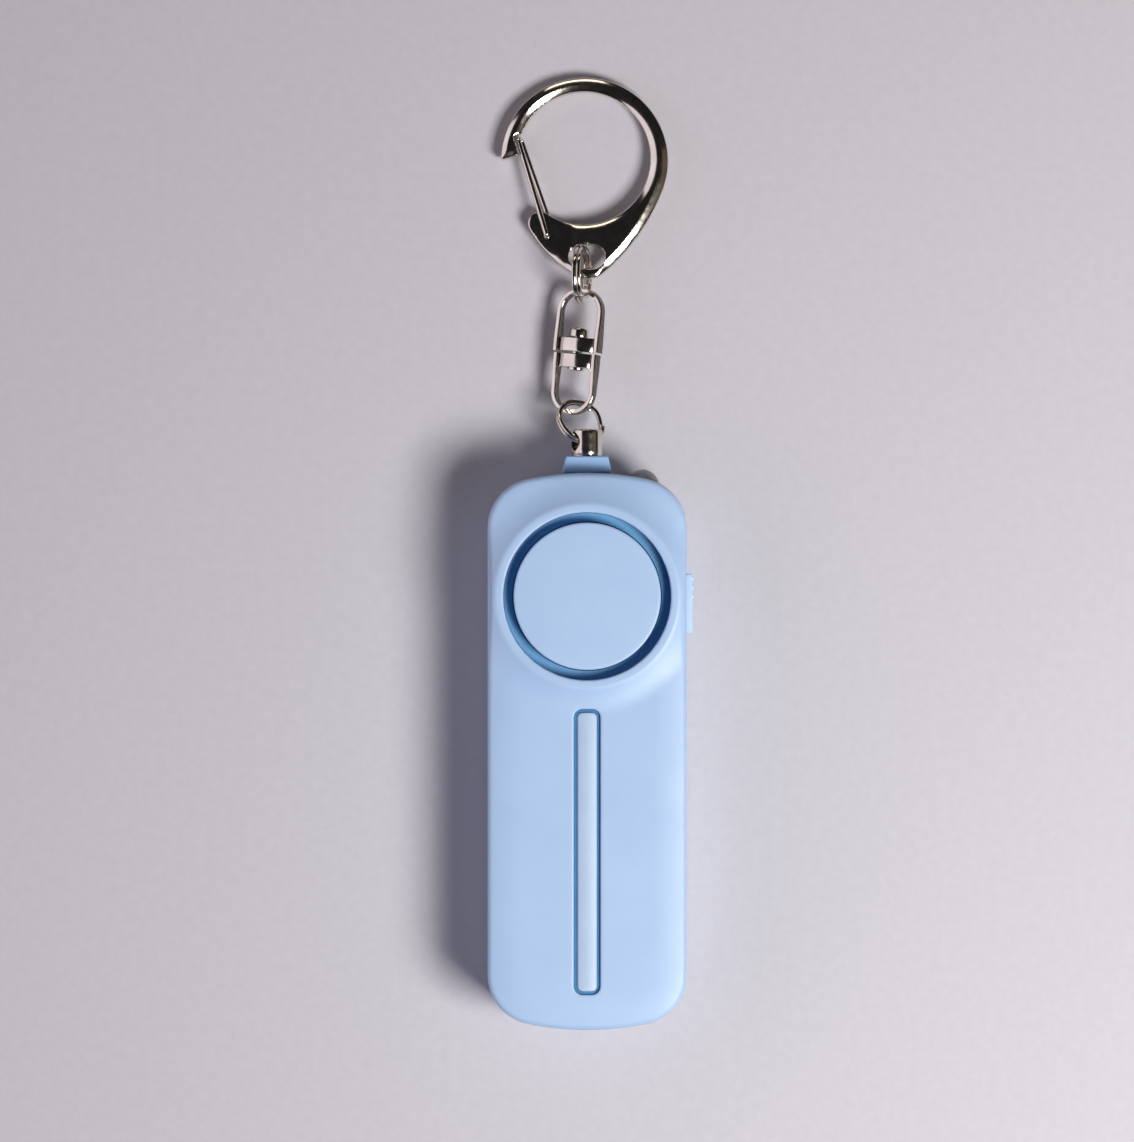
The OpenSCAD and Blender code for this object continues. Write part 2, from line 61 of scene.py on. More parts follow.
class Mesh:
    def __init__(self):
        self.v, self.f = [], []

    def pts(self, points):
        i = len(self.v)
        self.v.extend((p[0], p[1], p[2]) for p in points)
        return list(range(i, len(self.v)))

    def bridge(self, a, b, closed=True):
        n = len(a)
        for i in range(n if closed else n - 1):
            j = (i + 1) % n
            self.f.append((a[i], a[j], b[j], b[i]))

    def loops(self, rows, closed=True):
        ids = [self.pts(r) for r in rows]
        for a, b in zip(ids, ids[1:]):
            self.bridge(a, b, closed)
        return ids

    def fan(self, loop, centre=None):
        if centre is None:
            n = len(loop)
            centre = tuple(sum(self.v[i][k] for i in loop) / n for k in range(3))
        c = self.pts([centre])[0]
        n = len(loop)
        for i in range(n):
            self.f.append((loop[i], loop[(i + 1) % n], c))

    def tri(self, verts2, tris, lift):
        ids = self.pts([lift(x, y) for x, y in verts2])
        self.f.extend(tuple(ids[i] for i in t) for t in tris)

    def move(self, matrix, start=0):
        for i in range(start, len(self.v)):
            p = matrix @ Vector(self.v[i])
            self.v[i] = (p.x, p.y, p.z)


def close_seams(bm, near):
    """Split a rim edge where another rim's corner lies on it, then weld the two."""
    for v in [v for v in bm.verts if v.is_boundary]:
        for e in [e for e in bm.edges if e.is_boundary and v not in e.verts]:
            a, d = e.verts[0], e.verts[1].co - e.verts[0].co
            t = (v.co - a.co).dot(d) / max(d.length_squared, 1e-18)
            if 0.001 < t < 0.999 and (a.co + d * t - v.co).length < near:
                bmesh.utils.edge_split(e, a, t)
    bmesh.ops.remove_doubles(bm, verts=[v for v in bm.verts if v.is_boundary], dist=near)


def make(name, m, body, nodes, mat, angle=38, weld=0.0008, second=None, pick=None):
    me = bpy.data.meshes.new(name)
    me.from_pydata([(x * MM, y * MM, z * MM) for x, y, z in m.v], [], m.f)
    bm = bmesh.new()
    bm.from_mesh(me)
    bmesh.ops.remove_doubles(bm, verts=bm.verts, dist=weld * MM)
    bmesh.ops.dissolve_degenerate(bm, edges=bm.edges, dist=1e-8)
    if any(e.is_boundary for e in bm.edges):
        close_seams(bm, 0.025 * MM)
    loose = [v for v in bm.verts if not v.link_faces]
    bmesh.ops.delete(bm, geom=loose, context="VERTS")
    bmesh.ops.recalc_face_normals(bm, faces=bm.faces)
    if pick:
        for f in bm.faces:
            f.material_index = 1 if pick(f.calc_center_median() / MM, f.normal) else 0
    bm.to_mesh(me)
    bm.free()
    me.shade_smooth()
    me.set_sharp_from_angle(angle=rad(angle))
    ob = bpy.data.objects.new(name, me)
    bpy.context.scene.collection.objects.link(ob)
    me.materials.append(mat)
    if second:
        me.materials.append(second)
    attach(ob, body)
    if nodes:
        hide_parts(*nodes)
    return ob


def circle(cx, cy, r, n, a0=0.0):
    return [(cx + r * math.cos(a0 + TAU * i / n), cy + r * math.sin(a0 + TAU * i / n)) for i in range(n)]


def at_z(loop, z):
    return [(x, y, z) for x, y in loop]


def inside(poly, x, y):
    odd, n = False, len(poly)
    j = n - 1
    for i in range(n):
        xi, yi = poly[i]
        xj, yj = poly[j]
        if (yi > y) != (yj > y) and x < (xj - xi) * (y - yi) / (yj - yi) + xi:
            odd = not odd
        j = i
    return odd


def gap_to(loop, x, y, closed=True):
    best = 1e18
    n = len(loop)
    for i in range(n if closed else n - 1):
        ax, ay = loop[i]
        bx, by = loop[(i + 1) % n]
        dx, dy = bx - ax, by - ay
        t = max(0.0, min(1.0, ((x - ax) * dx + (y - ay) * dy) / (dx * dx + dy * dy)))
        q = (ax + dx * t - x) ** 2 + (ay + dy * t - y) ** 2
        if q < best:
            best = q
    return math.sqrt(best)


class Sieve:
    """Keeps points that are at least a given distance from those kept before."""

    def __init__(self, cell=0.5):
        self.cell, self.grid = cell, {}

    def near(self, x, y, d):
        c = self.cell
        r = int(d / c) + 1
        i, j = int(x // c), int(y // c)
        for a in range(i - r, i + r + 1):
            for b in range(j - r, j + r + 1):
                for px, py in self.grid.get((a, b), ()):
                    if (px - x) ** 2 + (py - y) ** 2 < d * d:
                        return True
        return False

    def add(self, x, y):
        self.grid.setdefault((int(x // self.cell), int(y // self.cell)), []).append((x, y))


def fill(bounds_loops, inner_points, keep):
    """Triangles between closed loops; inner points are added to shape the surface."""
    verts, edges = [], []
    for loop in bounds_loops:
        i = len(verts)
        n = len(loop)
        verts += [Vector(p) for p in loop]
        edges += [(i + k, i + (k + 1) % n) for k in range(n)]
    verts += [Vector(p) for p in inner_points]
    out = delaunay_2d_cdt(verts, edges, [], 0, 1e-6, False)
    vs = [(p.x, p.y) for p in out[0]]
    tris = []
    for t in out[2]:
        x = sum(vs[i][0] for i in t) / 3
        y = sum(vs[i][1] for i in t) / 3
        if keep(x, y):
            tris.append(tuple(t))
    return vs, tris


def lathe(profile, n=96, place=None, closed=False):
    """Turned shape about Z from (r, z) pairs; points with r = 0 close it."""
    m = Mesh()
    rows = []
    for r, z in profile:
        if r < 1e-9:
            rows.append(m.pts([(0, 0, z)]))
        else:
            rows.append(m.pts([(x, y, z) for x, y in circle(0, 0, r, n)]))
    pairs = list(zip(rows, rows[1:])) + ([(rows[-1], rows[0])] if closed else [])
    for a, b in pairs:
        if len(a) == 1 and len(b) == 1:
            continue
        if len(a) == 1 or len(b) == 1:
            tip, ring = (a[0], b) if len(a) == 1 else (b[0], a)
            for i in range(n):
                m.f.append((ring[i], ring[(i + 1) % n], tip))
        else:
            m.bridge(a, b)
    if place is not None:
        m.move(place)
    return m


def rounded(points, radii, step=10):
    """Polyline with its corners rounded; radii has one value per point, 0 keeps it sharp."""
    out = []
    n = len(points)
    for i in range(n):
        p = Vector(points[i])
        r = radii[i]
        if i in (0, n - 1) or r <= 0:
            out.append((p.x, p.y))
            continue
        a = Vector(points[i - 1]) - p
        b = Vector(points[i + 1]) - p
        la, lb = a.length, b.length
        a.normalize()
        b.normalize()
        ang = math.acos(max(-1, min(1, a.dot(b))))
        t = min(r / math.tan(ang / 2), 0.49 * la, 0.49 * lb)
        r = t * math.tan(ang / 2)
        c = p + (a + b).normalized() * (r / math.sin(ang / 2))
        s, e = p + a * t - c, p + b * t - c
        turn = math.atan2(s.x * e.y - s.y * e.x, s.dot(e))
        k = max(3, int(abs(math.degrees(turn)) / step))
        for q in range(k + 1):
            w = turn * q / k
            out.append((c.x + s.x * math.cos(w) - s.y * math.sin(w), c.y + s.x * math.sin(w) + s.y * math.cos(w)))
    return out


def sweep(path, sections, up, closed=False, caps=True):
    """Section loops carried along a path. Each section is a list of (side, up) offsets."""
    m = Mesh()
    n = len(path)
    rows = []
    for i in range(n):
        p = Vector(path[i])
        if closed:
            t = Vector(path[(i + 1) % n]) - Vector(path[i - 1])
        else:
            t = Vector(path[min(i + 1, n - 1)]) - Vector(path[max(i - 1, 0)])
        t.normalize()
        u = up(i) if callable(up) else Vector(up)
        side = t.cross(u).normalized()
        u = side.cross(t).normalized()
        sec = sections(i) if callable(sections) else sections
        rows.append(m.pts([p + side * a + u * b for a, b in sec]))
    for a, b in zip(rows, rows[1:]):
        m.bridge(a, b)
    if closed:
        m.bridge(rows[-1], rows[0])
    elif caps:
        m.fan(rows[0])
        m.fan(rows[-1])
    return m


def ease(t):
    t = min(max(t, 0.0), 1.0)
    return t * t * (3 - 2 * t)


def round_rect(w, h, r, k=5):
    """Section of a strip w by h with corner radius r, as (side, up) offsets."""
    out = []
    for sx, sy, a0 in ((1, 1, 0), (-1, 1, 90), (-1, -1, 180), (1, -1, 270)):
        for i in range(k + 1):
            a = rad(a0 + 90 * i / k)
            out.append((sx * (w / 2 - r) + r * math.cos(a), sy * (h / 2 - r) + r * math.sin(a)))
    return out


# ---------------------------------------------------------------- materials


def rgb(r, g, b):
    def lin(c):
        c /= 255
        return c / 12.92 if c <= 0.04045 else ((c + 0.055) / 1.055) ** 2.4

    return (lin(r), lin(g), lin(b), 1.0)


def material(name):
    mat = bpy.data.materials.new(name)
    mat.use_nodes = True
    nt = mat.node_tree
    nt.nodes.clear()
    out = nt.nodes.new("ShaderNodeOutputMaterial")
    b = nt.nodes.new("ShaderNodeBsdfPrincipled")
    nt.links.new(b.outputs[0], out.inputs[0])
    return mat, nt, b


def noise(nt, size_mm, detail=3.0, rough=0.55, stretch=(1, 1, 1), turn=(0, 0, 0)):
    """Noise in the part's own frame; size_mm is the width of its blotches."""
    tc = nt.nodes.new("ShaderNodeTexCoord")
    mp = nt.nodes.new("ShaderNodeMapping")
    mp.inputs["Scale"].default_value = stretch
    mp.inputs["Rotation"].default_value = [rad(a) for a in turn]
    no = nt.nodes.new("ShaderNodeTexNoise")
    no.inputs["Scale"].default_value = 1 / (size_mm * MM)
    no.inputs["Detail"].default_value = detail
    no.inputs["Roughness"].default_value = rough
    nt.links.new(tc.outputs["Object"], mp.inputs["Vector"])
    nt.links.new(mp.outputs["Vector"], no.inputs["Vector"])
    return no.outputs["Fac"]


def ramp(nt, fac, stops):
    r = nt.nodes.new("ShaderNodeValToRGB")
    e = r.color_ramp.elements
    e[0].position, e[0].color = stops[0]
    e[1].position, e[1].color = stops[-1]
    for pos, col in stops[1:-1]:
        x = e.new(pos)
        x.color = col
    nt.links.new(fac, r.inputs["Fac"])
    return r.outputs["Color"]


def span(nt, fac, lo, hi, a=0.3, b=0.7):
    r = nt.nodes.new("ShaderNodeMapRange")
    r.inputs["From Min"].default_value, r.inputs["From Max"].default_value = a, b
    r.inputs["To Min"].default_value, r.inputs["To Max"].default_value = lo, hi
    nt.links.new(fac, r.inputs["Value"])
    return r.outputs["Result"]


def bump(nt, b, height, strength, dist_mm, normal=None):
    n = nt.nodes.new("ShaderNodeBump")
    n.inputs["Strength"].default_value = strength
    n.inputs["Distance"].default_value = dist_mm * MM
    nt.links.new(height, n.inputs["Height"])
    if normal is not None:
        nt.links.new(normal, n.inputs["Normal"])
    nt.links.new(n.outputs["Normal"], b.inputs["Normal"])
    return n.outputs["Normal"]


def plastic(name, dark, light, rough=(0.36, 0.46), grain_mm=0.12, grain=0.12, patch_mm=14, spec=0.5, sss=0.0):
    """Moulded plastic: slow tone drift, fine spark-eroded grain, uneven gloss from handling."""
    mat, nt, b = material(name)
    nt.links.new(ramp(nt, noise(nt, patch_mm, 4, 0.6), [(0.3, dark), (0.7, light)]), b.inputs["Base Color"])
    nt.links.new(span(nt, noise(nt, patch_mm * 0.35, 5, 0.65), *rough), b.inputs["Roughness"])
    b.inputs["Specular IOR Level"].default_value = spec
    b.inputs["IOR"].default_value = 1.49
    if sss:
        b.inputs["Subsurface Weight"].default_value = sss
        b.inputs["Subsurface Radius"].default_value = (0.35, 0.5, 0.9)
        b.inputs["Subsurface Scale"].default_value = 0.0012
    bump(nt, b, noise(nt, grain_mm, 2, 0.5), grain, 0.03)
    return mat


def metal(name, dark, light, rough=(0.1, 0.18), brush=(1, 1, 1), brush_mm=0.12, lines=0.05, patch_mm=2.5):
    """Plated metal: faint tarnish drift, polishing lines and scuffs in the gloss."""
    mat, nt, b = material(name)
    b.inputs["Metallic"].default_value = 1.0
    nt.links.new(ramp(nt, noise(nt, patch_mm, 5, 0.6), [(0.32, dark), (0.62, light)]), b.inputs["Base Color"])
    nt.links.new(span(nt, noise(nt, patch_mm * 0.5, 6, 0.7), *rough), b.inputs["Roughness"])
    bump(nt, b, noise(nt, brush_mm, 3, 0.6, brush), lines, 0.01)
    return mat


CASE_BLUE = plastic("case_blue_moulded", rgb(163, 191, 231), rgb(169, 197, 235), (0.46, 0.54), 0.16, 0.10, 16, spec=0.9)
CAP_BLUE = plastic("cap_blue_moulded", rgb(165, 193, 232), rgb(171, 199, 236), (0.44, 0.52), 0.16, 0.10, 9, spec=0.9)
KNOB_BLUE = plastic("knob_blue_moulded", rgb(176, 204, 236), rgb(184, 211, 240), (0.32, 0.42), 0.14, 0.10, 4)
PIN_BLUE = plastic("pin_blue_moulded", rgb(150, 188, 233), rgb(158, 196, 239), (0.4, 0.5), 0.14, 0.12, 4)
# Grille channel blue: darker than the case partly as painted shade for the deep groove; also laid on the groove walls
# as painted shade.
GRILLE_AND_GROOVE_SHADE = plastic("grille_blue_and_groove_shade", rgb(97, 152, 198), rgb(105, 160, 205), (0.34, 0.44), 0.2, 0.06, 3)
BAR = plastic("bar_frosted", rgb(176, 197, 226), rgb(184, 204, 231), (0.42, 0.5), 0.08, 0.16, 8, sss=0.15)
# Dark blue of the bar's flange rim: painted shade for the gap round the light bar.
BAR_GAP_SHADE = plastic("bar_gap_painted_shade", rgb(52, 118, 168), rgb(62, 130, 180), (0.4, 0.5), 0.1, 0.1, 3)
NICKEL = metal("nickel_polished", (0.66, 0.60, 0.54, 1), (0.76, 0.71, 0.65, 1), (0.10, 0.17))
NICKEL_BRUSHED = metal("nickel_turned", (0.64, 0.58, 0.52, 1), (0.76, 0.71, 0.65, 1), (0.10, 0.2), (1, 14, 1), 0.5, 0.12, 1.6)
# Near-black side finish for the swivel strips: a painted dark reflection, with real dull roughness.
NICKEL_SIDE_DARK_REFLECTION = metal("nickel_side_painted_dark", (0.07, 0.058, 0.05, 1), (0.2, 0.165, 0.14, 1), (0.2, 0.4), (1, 1, 1), 0.1, 0.2, 0.8)
STEEL = metal("steel_bright", (0.5, 0.5, 0.5, 1), (0.64, 0.64, 0.63, 1), (0.22, 0.34))
BRASS = metal("contact_brass_plate", (0.62, 0.46, 0.2, 1), (0.74, 0.57, 0.28, 1), (0.24, 0.36))
BOARD_GREEN = plastic("board_green_mask", rgb(18, 84, 48), rgb(26, 104, 60), (0.28, 0.42), 0.3, 0.08, 3)
BOARD_WHITE = plastic("board_white_mask", rgb(214, 218, 214), rgb(232, 234, 230), (0.3, 0.44), 0.3, 0.08, 3)
CHIP = plastic("chip_black_epoxy", rgb(18, 18, 19), rgb(34, 34, 36), (0.45, 0.62), 0.12, 0.3, 1.2)
FERRITE = plastic("ferrite_dark", rgb(34, 32, 31), rgb(56, 53, 50), (0.55, 0.75), 0.15, 0.4, 1.5)
PIEZO = plastic("piezo_ceramic_white", rgb(214, 206, 190), rgb(230, 224, 208), (0.5, 0.65), 0.1, 0.3, 2)
WIRE_RED = plastic("wire_red_vinyl", rgb(150, 20, 22), rgb(182, 30, 30), (0.35, 0.5), 0.2, 0.12, 1.5)
WIRE_BLACK = plastic("wire_black_vinyl", rgb(14, 14, 15), rgb(30, 30, 32), (0.35, 0.5), 0.2, 0.12, 1.5)
CAN = plastic("can_dark_sleeve", rgb(28, 30, 62), rgb(40, 44, 84), (0.26, 0.38), 0.3, 0.1, 2)


def cell_jacket():
    """Printed foil sleeve of a dry cell: a copper-coloured top band over a dark sleeve."""
    mat, nt, b = material("cell_jacket_foil")
    tc = nt.nodes.new("ShaderNodeTexCoord")
    sep = nt.nodes.new("ShaderNodeSeparateXYZ")
    nt.links.new(tc.outputs["Object"], sep.inputs[0])
    band = span(nt, sep.outputs["Y"], 0.0, 1.0, -0.004, -0.0038)
    nt.links.new(ramp(nt, band, [(0.4, rgb(30, 32, 36)), (0.6, rgb(176, 108, 60))]), b.inputs["Base Color"])
    b.inputs["Metallic"].default_value = 0.35
    nt.links.new(span(nt, noise(nt, 3, 5, 0.6), 0.24, 0.38), b.inputs["Roughness"])
    bump(nt, b, noise(nt, 0.6, 2, 0.5), 0.08, 0.02)
    return mat


CELL = cell_jacket()


def clear_lens():
    """Clear water-white epoxy with faint flow marks."""
    mat, nt, b = material("led_clear_epoxy")
    nt.links.new(ramp(nt, noise(nt, 1.2, 3, 0.5), [(0.3, (0.93, 0.95, 0.98, 1)), (0.7, (0.98, 0.99, 1.0, 1))]), b.inputs["Base Color"])
    b.inputs["Transmission Weight"].default_value = 0.82
    b.inputs["IOR"].default_value = 1.53
    nt.links.new(span(nt, noise(nt, 0.8, 4, 0.6), 0.02, 0.06), b.inputs["Roughness"])
    bump(nt, b, noise(nt, 0.5, 2, 0.5), 0.03, 0.02)
    return mat


LENS = clear_lens()

# ---------------------------------------------------------------- case halves

HW, TOPY, PART_Z, CASE_T, WALL = 15.0, 42.0, 7.5, 15.0, 1.6
CR, KR, CY = 7.6, 45.0, -3.0
FX = HW - CR
FY = CY + math.sqrt((KR - CR) ** 2 - FX * FX)
FA = math.atan2(FY - CY, FX)
SIREN_Y, GROOVE_R, COLLAR_R, COLLAR_Z = 23.4, 12.6, 14.3, 16.2
BAR_Y = -15.1
SCREWS = [(-11.5, 11.4), (11.5, 11.4), (-9.8, 35.6)]
N_S, N_C, N_E = ((120, 22, 16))


def outline(d):
    """Case outline moved inwards by d, always with the same number of points."""
    p = []
    p += [(HW - d, -FY + 2 * FY * i / N_S) for i in range(N_S)]
    p += [(FX + (CR - d) * math.cos(FA * i / N_C), FY + (CR - d) * math.sin(FA * i / N_C)) for i in range(N_C)]
    for i in range(N_E):
        a = FA + (math.pi - 2 * FA) * i / N_E
        p.append(((KR - d) * math.cos(a), CY + (KR - d) * math.sin(a)))
    for i in range(N_C):
        a = math.pi - FA + FA * i / N_C
        p.append((-FX + (CR - d) * math.cos(a), FY + (CR - d) * math.sin(a)))
    return p + [(-x, -y) for x, y in p]


OUT0 = outline(0)
OUT_IN = outline(WALL)
RUN = [0.0]
for _i in range(len(OUT0)):
    _a, _b = OUT0[_i], OUT0[(_i + 1) % len(OUT0)]
    RUN.append(RUN[-1] + math.hypot(_b[0] - _a[0], _b[1] - _a[1]))


def on_outline(s, d):
    """Point of the outline moved inwards by d, at run length s along the outer edge."""
    s = min(max(s, 0.0), RUN[-1])
    lo, hi = 0, len(RUN) - 1
    while hi - lo > 1:
        mid = (lo + hi) // 2
        if RUN[mid] <= s:
            lo = mid
        else:
            hi = mid
    t = (s - RUN[lo]) / (RUN[lo + 1] - RUN[lo])
    n = len(OUT0)

    def q(i, d):
        x, y = OUT0[i % n]
        if d == 0:
            return x, y
        xi, yi = OUT_IN[i % n]
        w = d / WALL
        return x + (xi - x) * w, y + (yi - y) * w

    a, b = q(lo, d), q(lo + 1, d)
    return a[0] + (b[0] - a[0]) * t, a[1] + (b[1] - a[1]) * t


def run_at_top(x):
    """Run length of the point at x on the outline's top end."""
    lo, hi = N_S, N_S + 2 * N_C + N_E
    for i in range(lo, hi):
        x0, x1 = OUT0[i][0], OUT0[i + 1][0]
        if x0 >= x >= x1:
            return RUN[i] + (RUN[i + 1] - RUN[i]) * (x0 - x) / (x0 - x1)
    return RUN[lo]


def edge_depth(x, y):
    """Distance from the case outline, inwards."""
    ax, ay = abs(x), abs(y)
    a = math.atan2(ay - FY, ax - FX)
    if ay > FY and 0 <= a <= FA and ax > FX:
        return CR - math.hypot(ax - FX, ay - FY)
    if ay <= FY and HW - ax < 8:
        side = HW - ax
    else:
        side = 1e9
    end = KR - math.hypot(x, ay - CY)
    return min(side, end)


def bar_gap(x, y, w, l, r):
    """Signed distance from a rounded rectangle at the light bar."""
    qx, qy = abs(x) - (w / 2 - r), abs(y - BAR_Y) - (l / 2 - r)
    return math.hypot(max(qx, 0), max(qy, 0)) + min(max(qx, qy), 0) - r


def bar_loop(w, l, r, k=9, long=64, short=4):
    """Rounded rectangle at the light bar, always with the same number of points."""
    corners = []
    for sx, sy, a0 in ((1, 1, 0), (-1, 1, 90), (-1, -1, 180), (1, -1, 270)):
        at = [rad(a0 + 90 * i / k) for i in range(k + 1)]
        corners.append([(sx * (w / 2 - r) + r * math.cos(a), BAR_Y + sy * (l / 2 - r) + r * math.sin(a)) for a in at])
    out = []
    for q, c in enumerate(corners):
        a, b = c[-1], corners[(q + 1) % 4][0]
        n = (long if q % 2 else short) + 1
        out += c + [(a[0] + (b[0] - a[0]) * j / n, a[1] + (b[1] - a[1]) * j / n) for j in range(1, n)]
    return out


def quarter(d, r):
    """Drop of a rounded edge of radius r at distance d from its outer side."""
    if d >= r:
        return 0.0
    d = max(d, 0.0)
    return r - math.sqrt(max(r * r - (r - d) ** 2, 0.0))


FRONT_R, BACK_R = 1.3, 1.8
EDGE_R, SLOPE_W, SLOPE_H = 0.8, 5.0, 0.5
COVE_R, FLAT_R, LIP_R = 18.0, 13.55, 14.25


def collar_rise(r):
    """Height of the siren collar over the face: flat ring, soft lip, wide hollow at its foot."""
    top = COLLAR_Z - CASE_T
    w, c = LIP_R - FLAT_R, COVE_R - LIP_R
    foot = top / (1 + w / c)
    if r <= FLAT_R:
        return top
    if r <= LIP_R:
        return top - (top - foot) * ((r - FLAT_R) / w) ** 2
    if r < COVE_R:
        return foot * ((COVE_R - r) / c) ** 2
    return 0.0


def front_z(x, y):
    d = edge_depth(x, y)
    r = math.hypot(x, y - SIREN_Y)
    rise = collar_rise(r)
    slope = SLOPE_H * (1 - rise / (COLLAR_Z - CASE_T))
    top = CASE_T + rise
    z = top - slope * max(0.0, 1 - d / SLOPE_W) ** 2
    z -= (top - slope - (CASE_T - FRONT_R)) * quarter(d, EDGE_R) / EDGE_R
    z -= quarter(r - GROOVE_R, 0.3)
    e = bar_gap(x, y, 4, 43, 1.3)
    if e < 0.3:
        z -= quarter(e, 0.22)
    return z


def half(front):
    """One half of the case as a closed shell, outside and inside."""
    m = Mesh()
    top = PART_Z + (CASE_T - FRONT_R - PART_Z) if front else BACK_R
    sign = 1 if front else -1

    # side wall, unrolled to run length and height from the parting plane
    wall_h = abs(top - PART_Z)
    holes = []
    for cx, r in ((0.0, 2.4), (8.45, 2.6)):
        holes.append([(run_at_top(cx + r * math.cos(t)), r * math.sin(t)) for t in [math.pi * i / 24 for i in range(25)]])
    s0, s1 = 17.45 + FY, 29.25 + FY
    rc = 0.5
    slot = [(s0, 0.0), (s0, 1.0), (s0, 2.2 - rc)]
    slot += [(s0 + rc - rc * math.cos(rad(15 * i)), 2.2 - rc + rc * math.sin(rad(15 * i))) for i in range(1, 7)]
    slot += [(s0 + rc + (s1 - s0 - 2 * rc) * i / 16, 2.2) for i in range(1, 16)]
    slot += [(s1 - rc + rc * math.sin(rad(15 * i)), 2.2 - rc + rc * math.cos(rad(15 * i))) for i in range(0, 6)]
    slot += [(s1, 2.2 - rc), (s1, 1.0), (s1, 0.0)]
    cuts = sorted([sorted(h) if h is not slot else h for h in holes] + [slot], key=lambda c: c[0][0])
    chain = []
    lims = [(min(p[0] for p in c), max(p[0] for p in c)) for c in cuts]
    for s in RUN:
        while cuts and s >= lims[0][0]:
            if s > lims[0][1] - 0.08:
                chain += [p for p in cuts.pop(0)]
                lims.pop(0)
            else:
                break
        if cuts and lims[0][0] - 0.08 < s:
            continue
        if chain and s - chain[-1][0] < 0.08:
            continue
        chain.append((s, 0.0))
    rows = [0.07, 0.16, 0.6] + [wall_h * k / 6 for k in range(1, 6)]
    rows = sorted(set(round(r, 4) for r in rows if r < wall_h - 0.2))
    right = [(RUN[-1], h) for h in rows]
    upper = [(s, wall_h) for s in reversed(RUN)]
    left = [(0.0, h) for h in reversed(rows)]
    ring = chain + right + upper + left
    sieve = Sieve()
    for p in ring:
        sieve.add(*p)
    extra = []
    for h in rows:
        for s in RUN[1:-1]:
            if inside(ring, s, h) and not sieve.near(s, h, 0.05 if h < 0.2 else 0.2):
                extra.append((s, h))
                sieve.add(s, h)
    vs, tris = fill([ring], extra, lambda x, y: inside(ring, x, y))

    def outer(s, h):
        d = 0.14 * max(0.0, 1 - h / 0.16)
        x, y = on_outline(s, d)
        return x, y, PART_Z + sign * h

    in_h = (CASE_T - WALL - PART_Z) if front else (PART_Z - WALL)

    def inner(s, h):
        x, y = on_outline(s, WALL)
        z = h if h < wall_h - 0.01 else in_h
        return x, y, PART_Z + sign * z

    m.tri(vs, tris, outer)
    m.tri(vs, tris, inner)
    a = m.pts([outer(*p) for p in chain])
    b = m.pts([inner(*p) for p in chain])
    m.bridge(a, b, closed=False)

    # face, with its rounded edge
    sieve = Sieve()
    pts = []
    siren = circle(0, SIREN_Y, GROOVE_R, 200)
    slot_loop = bar_loop(4, 43, 1.3)
    if front:
        loops = [OUT0, siren, slot_loop]
    else:
        door = [(-11.2, -37.0), (-2.7, -37.0), (-2.7, -40.25), (2.7, -40.25), (2.7, -37.0), (11.2, -37.0), (11.2, 8.7), (-11.2, 8.7)]
        loops = [OUT0, door] + [circle(x, y, 1.95, 40) for x, y in SCREWS]
    for loop in loops:
        for p in loop:
            sieve.add(*p)

    def ok(x, y, gap):
        if edge_depth(x, y) < 0.012 or not inside(OUT0, x, y):
            return False
        if front:
            if math.hypot(x, y - SIREN_Y) < GROOVE_R + 0.01 or bar_gap(x, y, 4, 43, 1.3) < 0.01:
                return False
        elif inside(door, x, y) or any(math.hypot(x - a, y - b) < 1.95 for a, b in SCREWS):
            return False
        return not sieve.near(x, y, gap)

    def put(points, gap):
        for x, y in points:
            if ok(x, y, gap):
                pts.append((x, y))
                sieve.add(x, y)

    edge_r = EDGE_R if front else BACK_R
    for k in range(1, 15):
        put(outline(edge_r * (1 - math.cos(rad(90 * k / 14)))), 0.02 if k < 4 else 0.05)
    if front:
        for e in (0.02, 0.06, 0.12, 0.22, 0.5):
            put(bar_loop(4 + 2 * e, 43 + 2 * e, 1.3 + e), 0.015)
        for r in (12.62, 12.66, 12.72, 12.8, 12.9, 13.2, 13.5, 13.58, 13.66, 13.74, 13.82, 13.9, 13.98, 14.06, 14.14, 14.25, 14.4, 14.6, 14.85, 15.15, 15.5, 15.9, 16.4, 17.0, 17.6, 18.0):
            put(circle(0, SIREN_Y, r, 240), 0.05)
        for d in (1.5, 1.75, 2.1, 2.5, 3.0, 3.6, 4.3, 5.0):
            put(outline(d), 0.15)
    g = 1.1
    put([(-14 + g * i + (g / 2 if j % 2 else 0), -41 + g * 0.87 * j) for i in range(27) for j in range(87)], 0.45)
    if front:
        def keep(x, y):
            return inside(OUT0, x, y) and math.hypot(x, y - SIREN_Y) > GROOVE_R * math.cos(math.pi / len(siren)) - 0.001 and bar_gap(x, y, 4, 43, 1.3) > -0.004

        vs, tris = fill(loops, pts, keep)
        m.tri(vs, tris, lambda x, y: (x, y, front_z(x, y) if edge_depth(x, y) > 0.004 else CASE_T - FRONT_R))
        ceil = CASE_T - WALL
        hole_rows = [[(x, y, front_z(x, y)) for x, y in siren], at_z(siren, 15.7), at_z(siren, 14.6), at_z(siren, ceil)]
        m.loops(hole_rows)
        m.loops([[(x, y, front_z(x, y)) for x, y in slot_loop], at_z(slot_loop, 14.2), at_z(slot_loop, ceil)])
        bosses = [circle(x, y, 1.75, 28) for x, y in SCREWS]
        vs, tris = fill([OUT_IN, siren, slot_loop] + bosses, [], lambda x, y: inside(OUT_IN, x, y) and not inside(siren, x, y) and not inside(slot_loop, x, y) and not any(inside(b, x, y) for b in bosses))
        m.tri(vs, tris, lambda x, y: (x, y, ceil))
        for (x, y), b in zip(SCREWS, bosses):
            bore = circle(x, y, 0.95, 28)
            ids = m.loops([at_z(b, ceil), at_z(b, PART_Z), at_z(bore, PART_Z), at_z(bore, 11.5)])
            m.fan(ids[-1])
    else:
        def keep(x, y):
            return inside(OUT0, x, y) and not any(inside(l, x, y) for l in loops[1:])

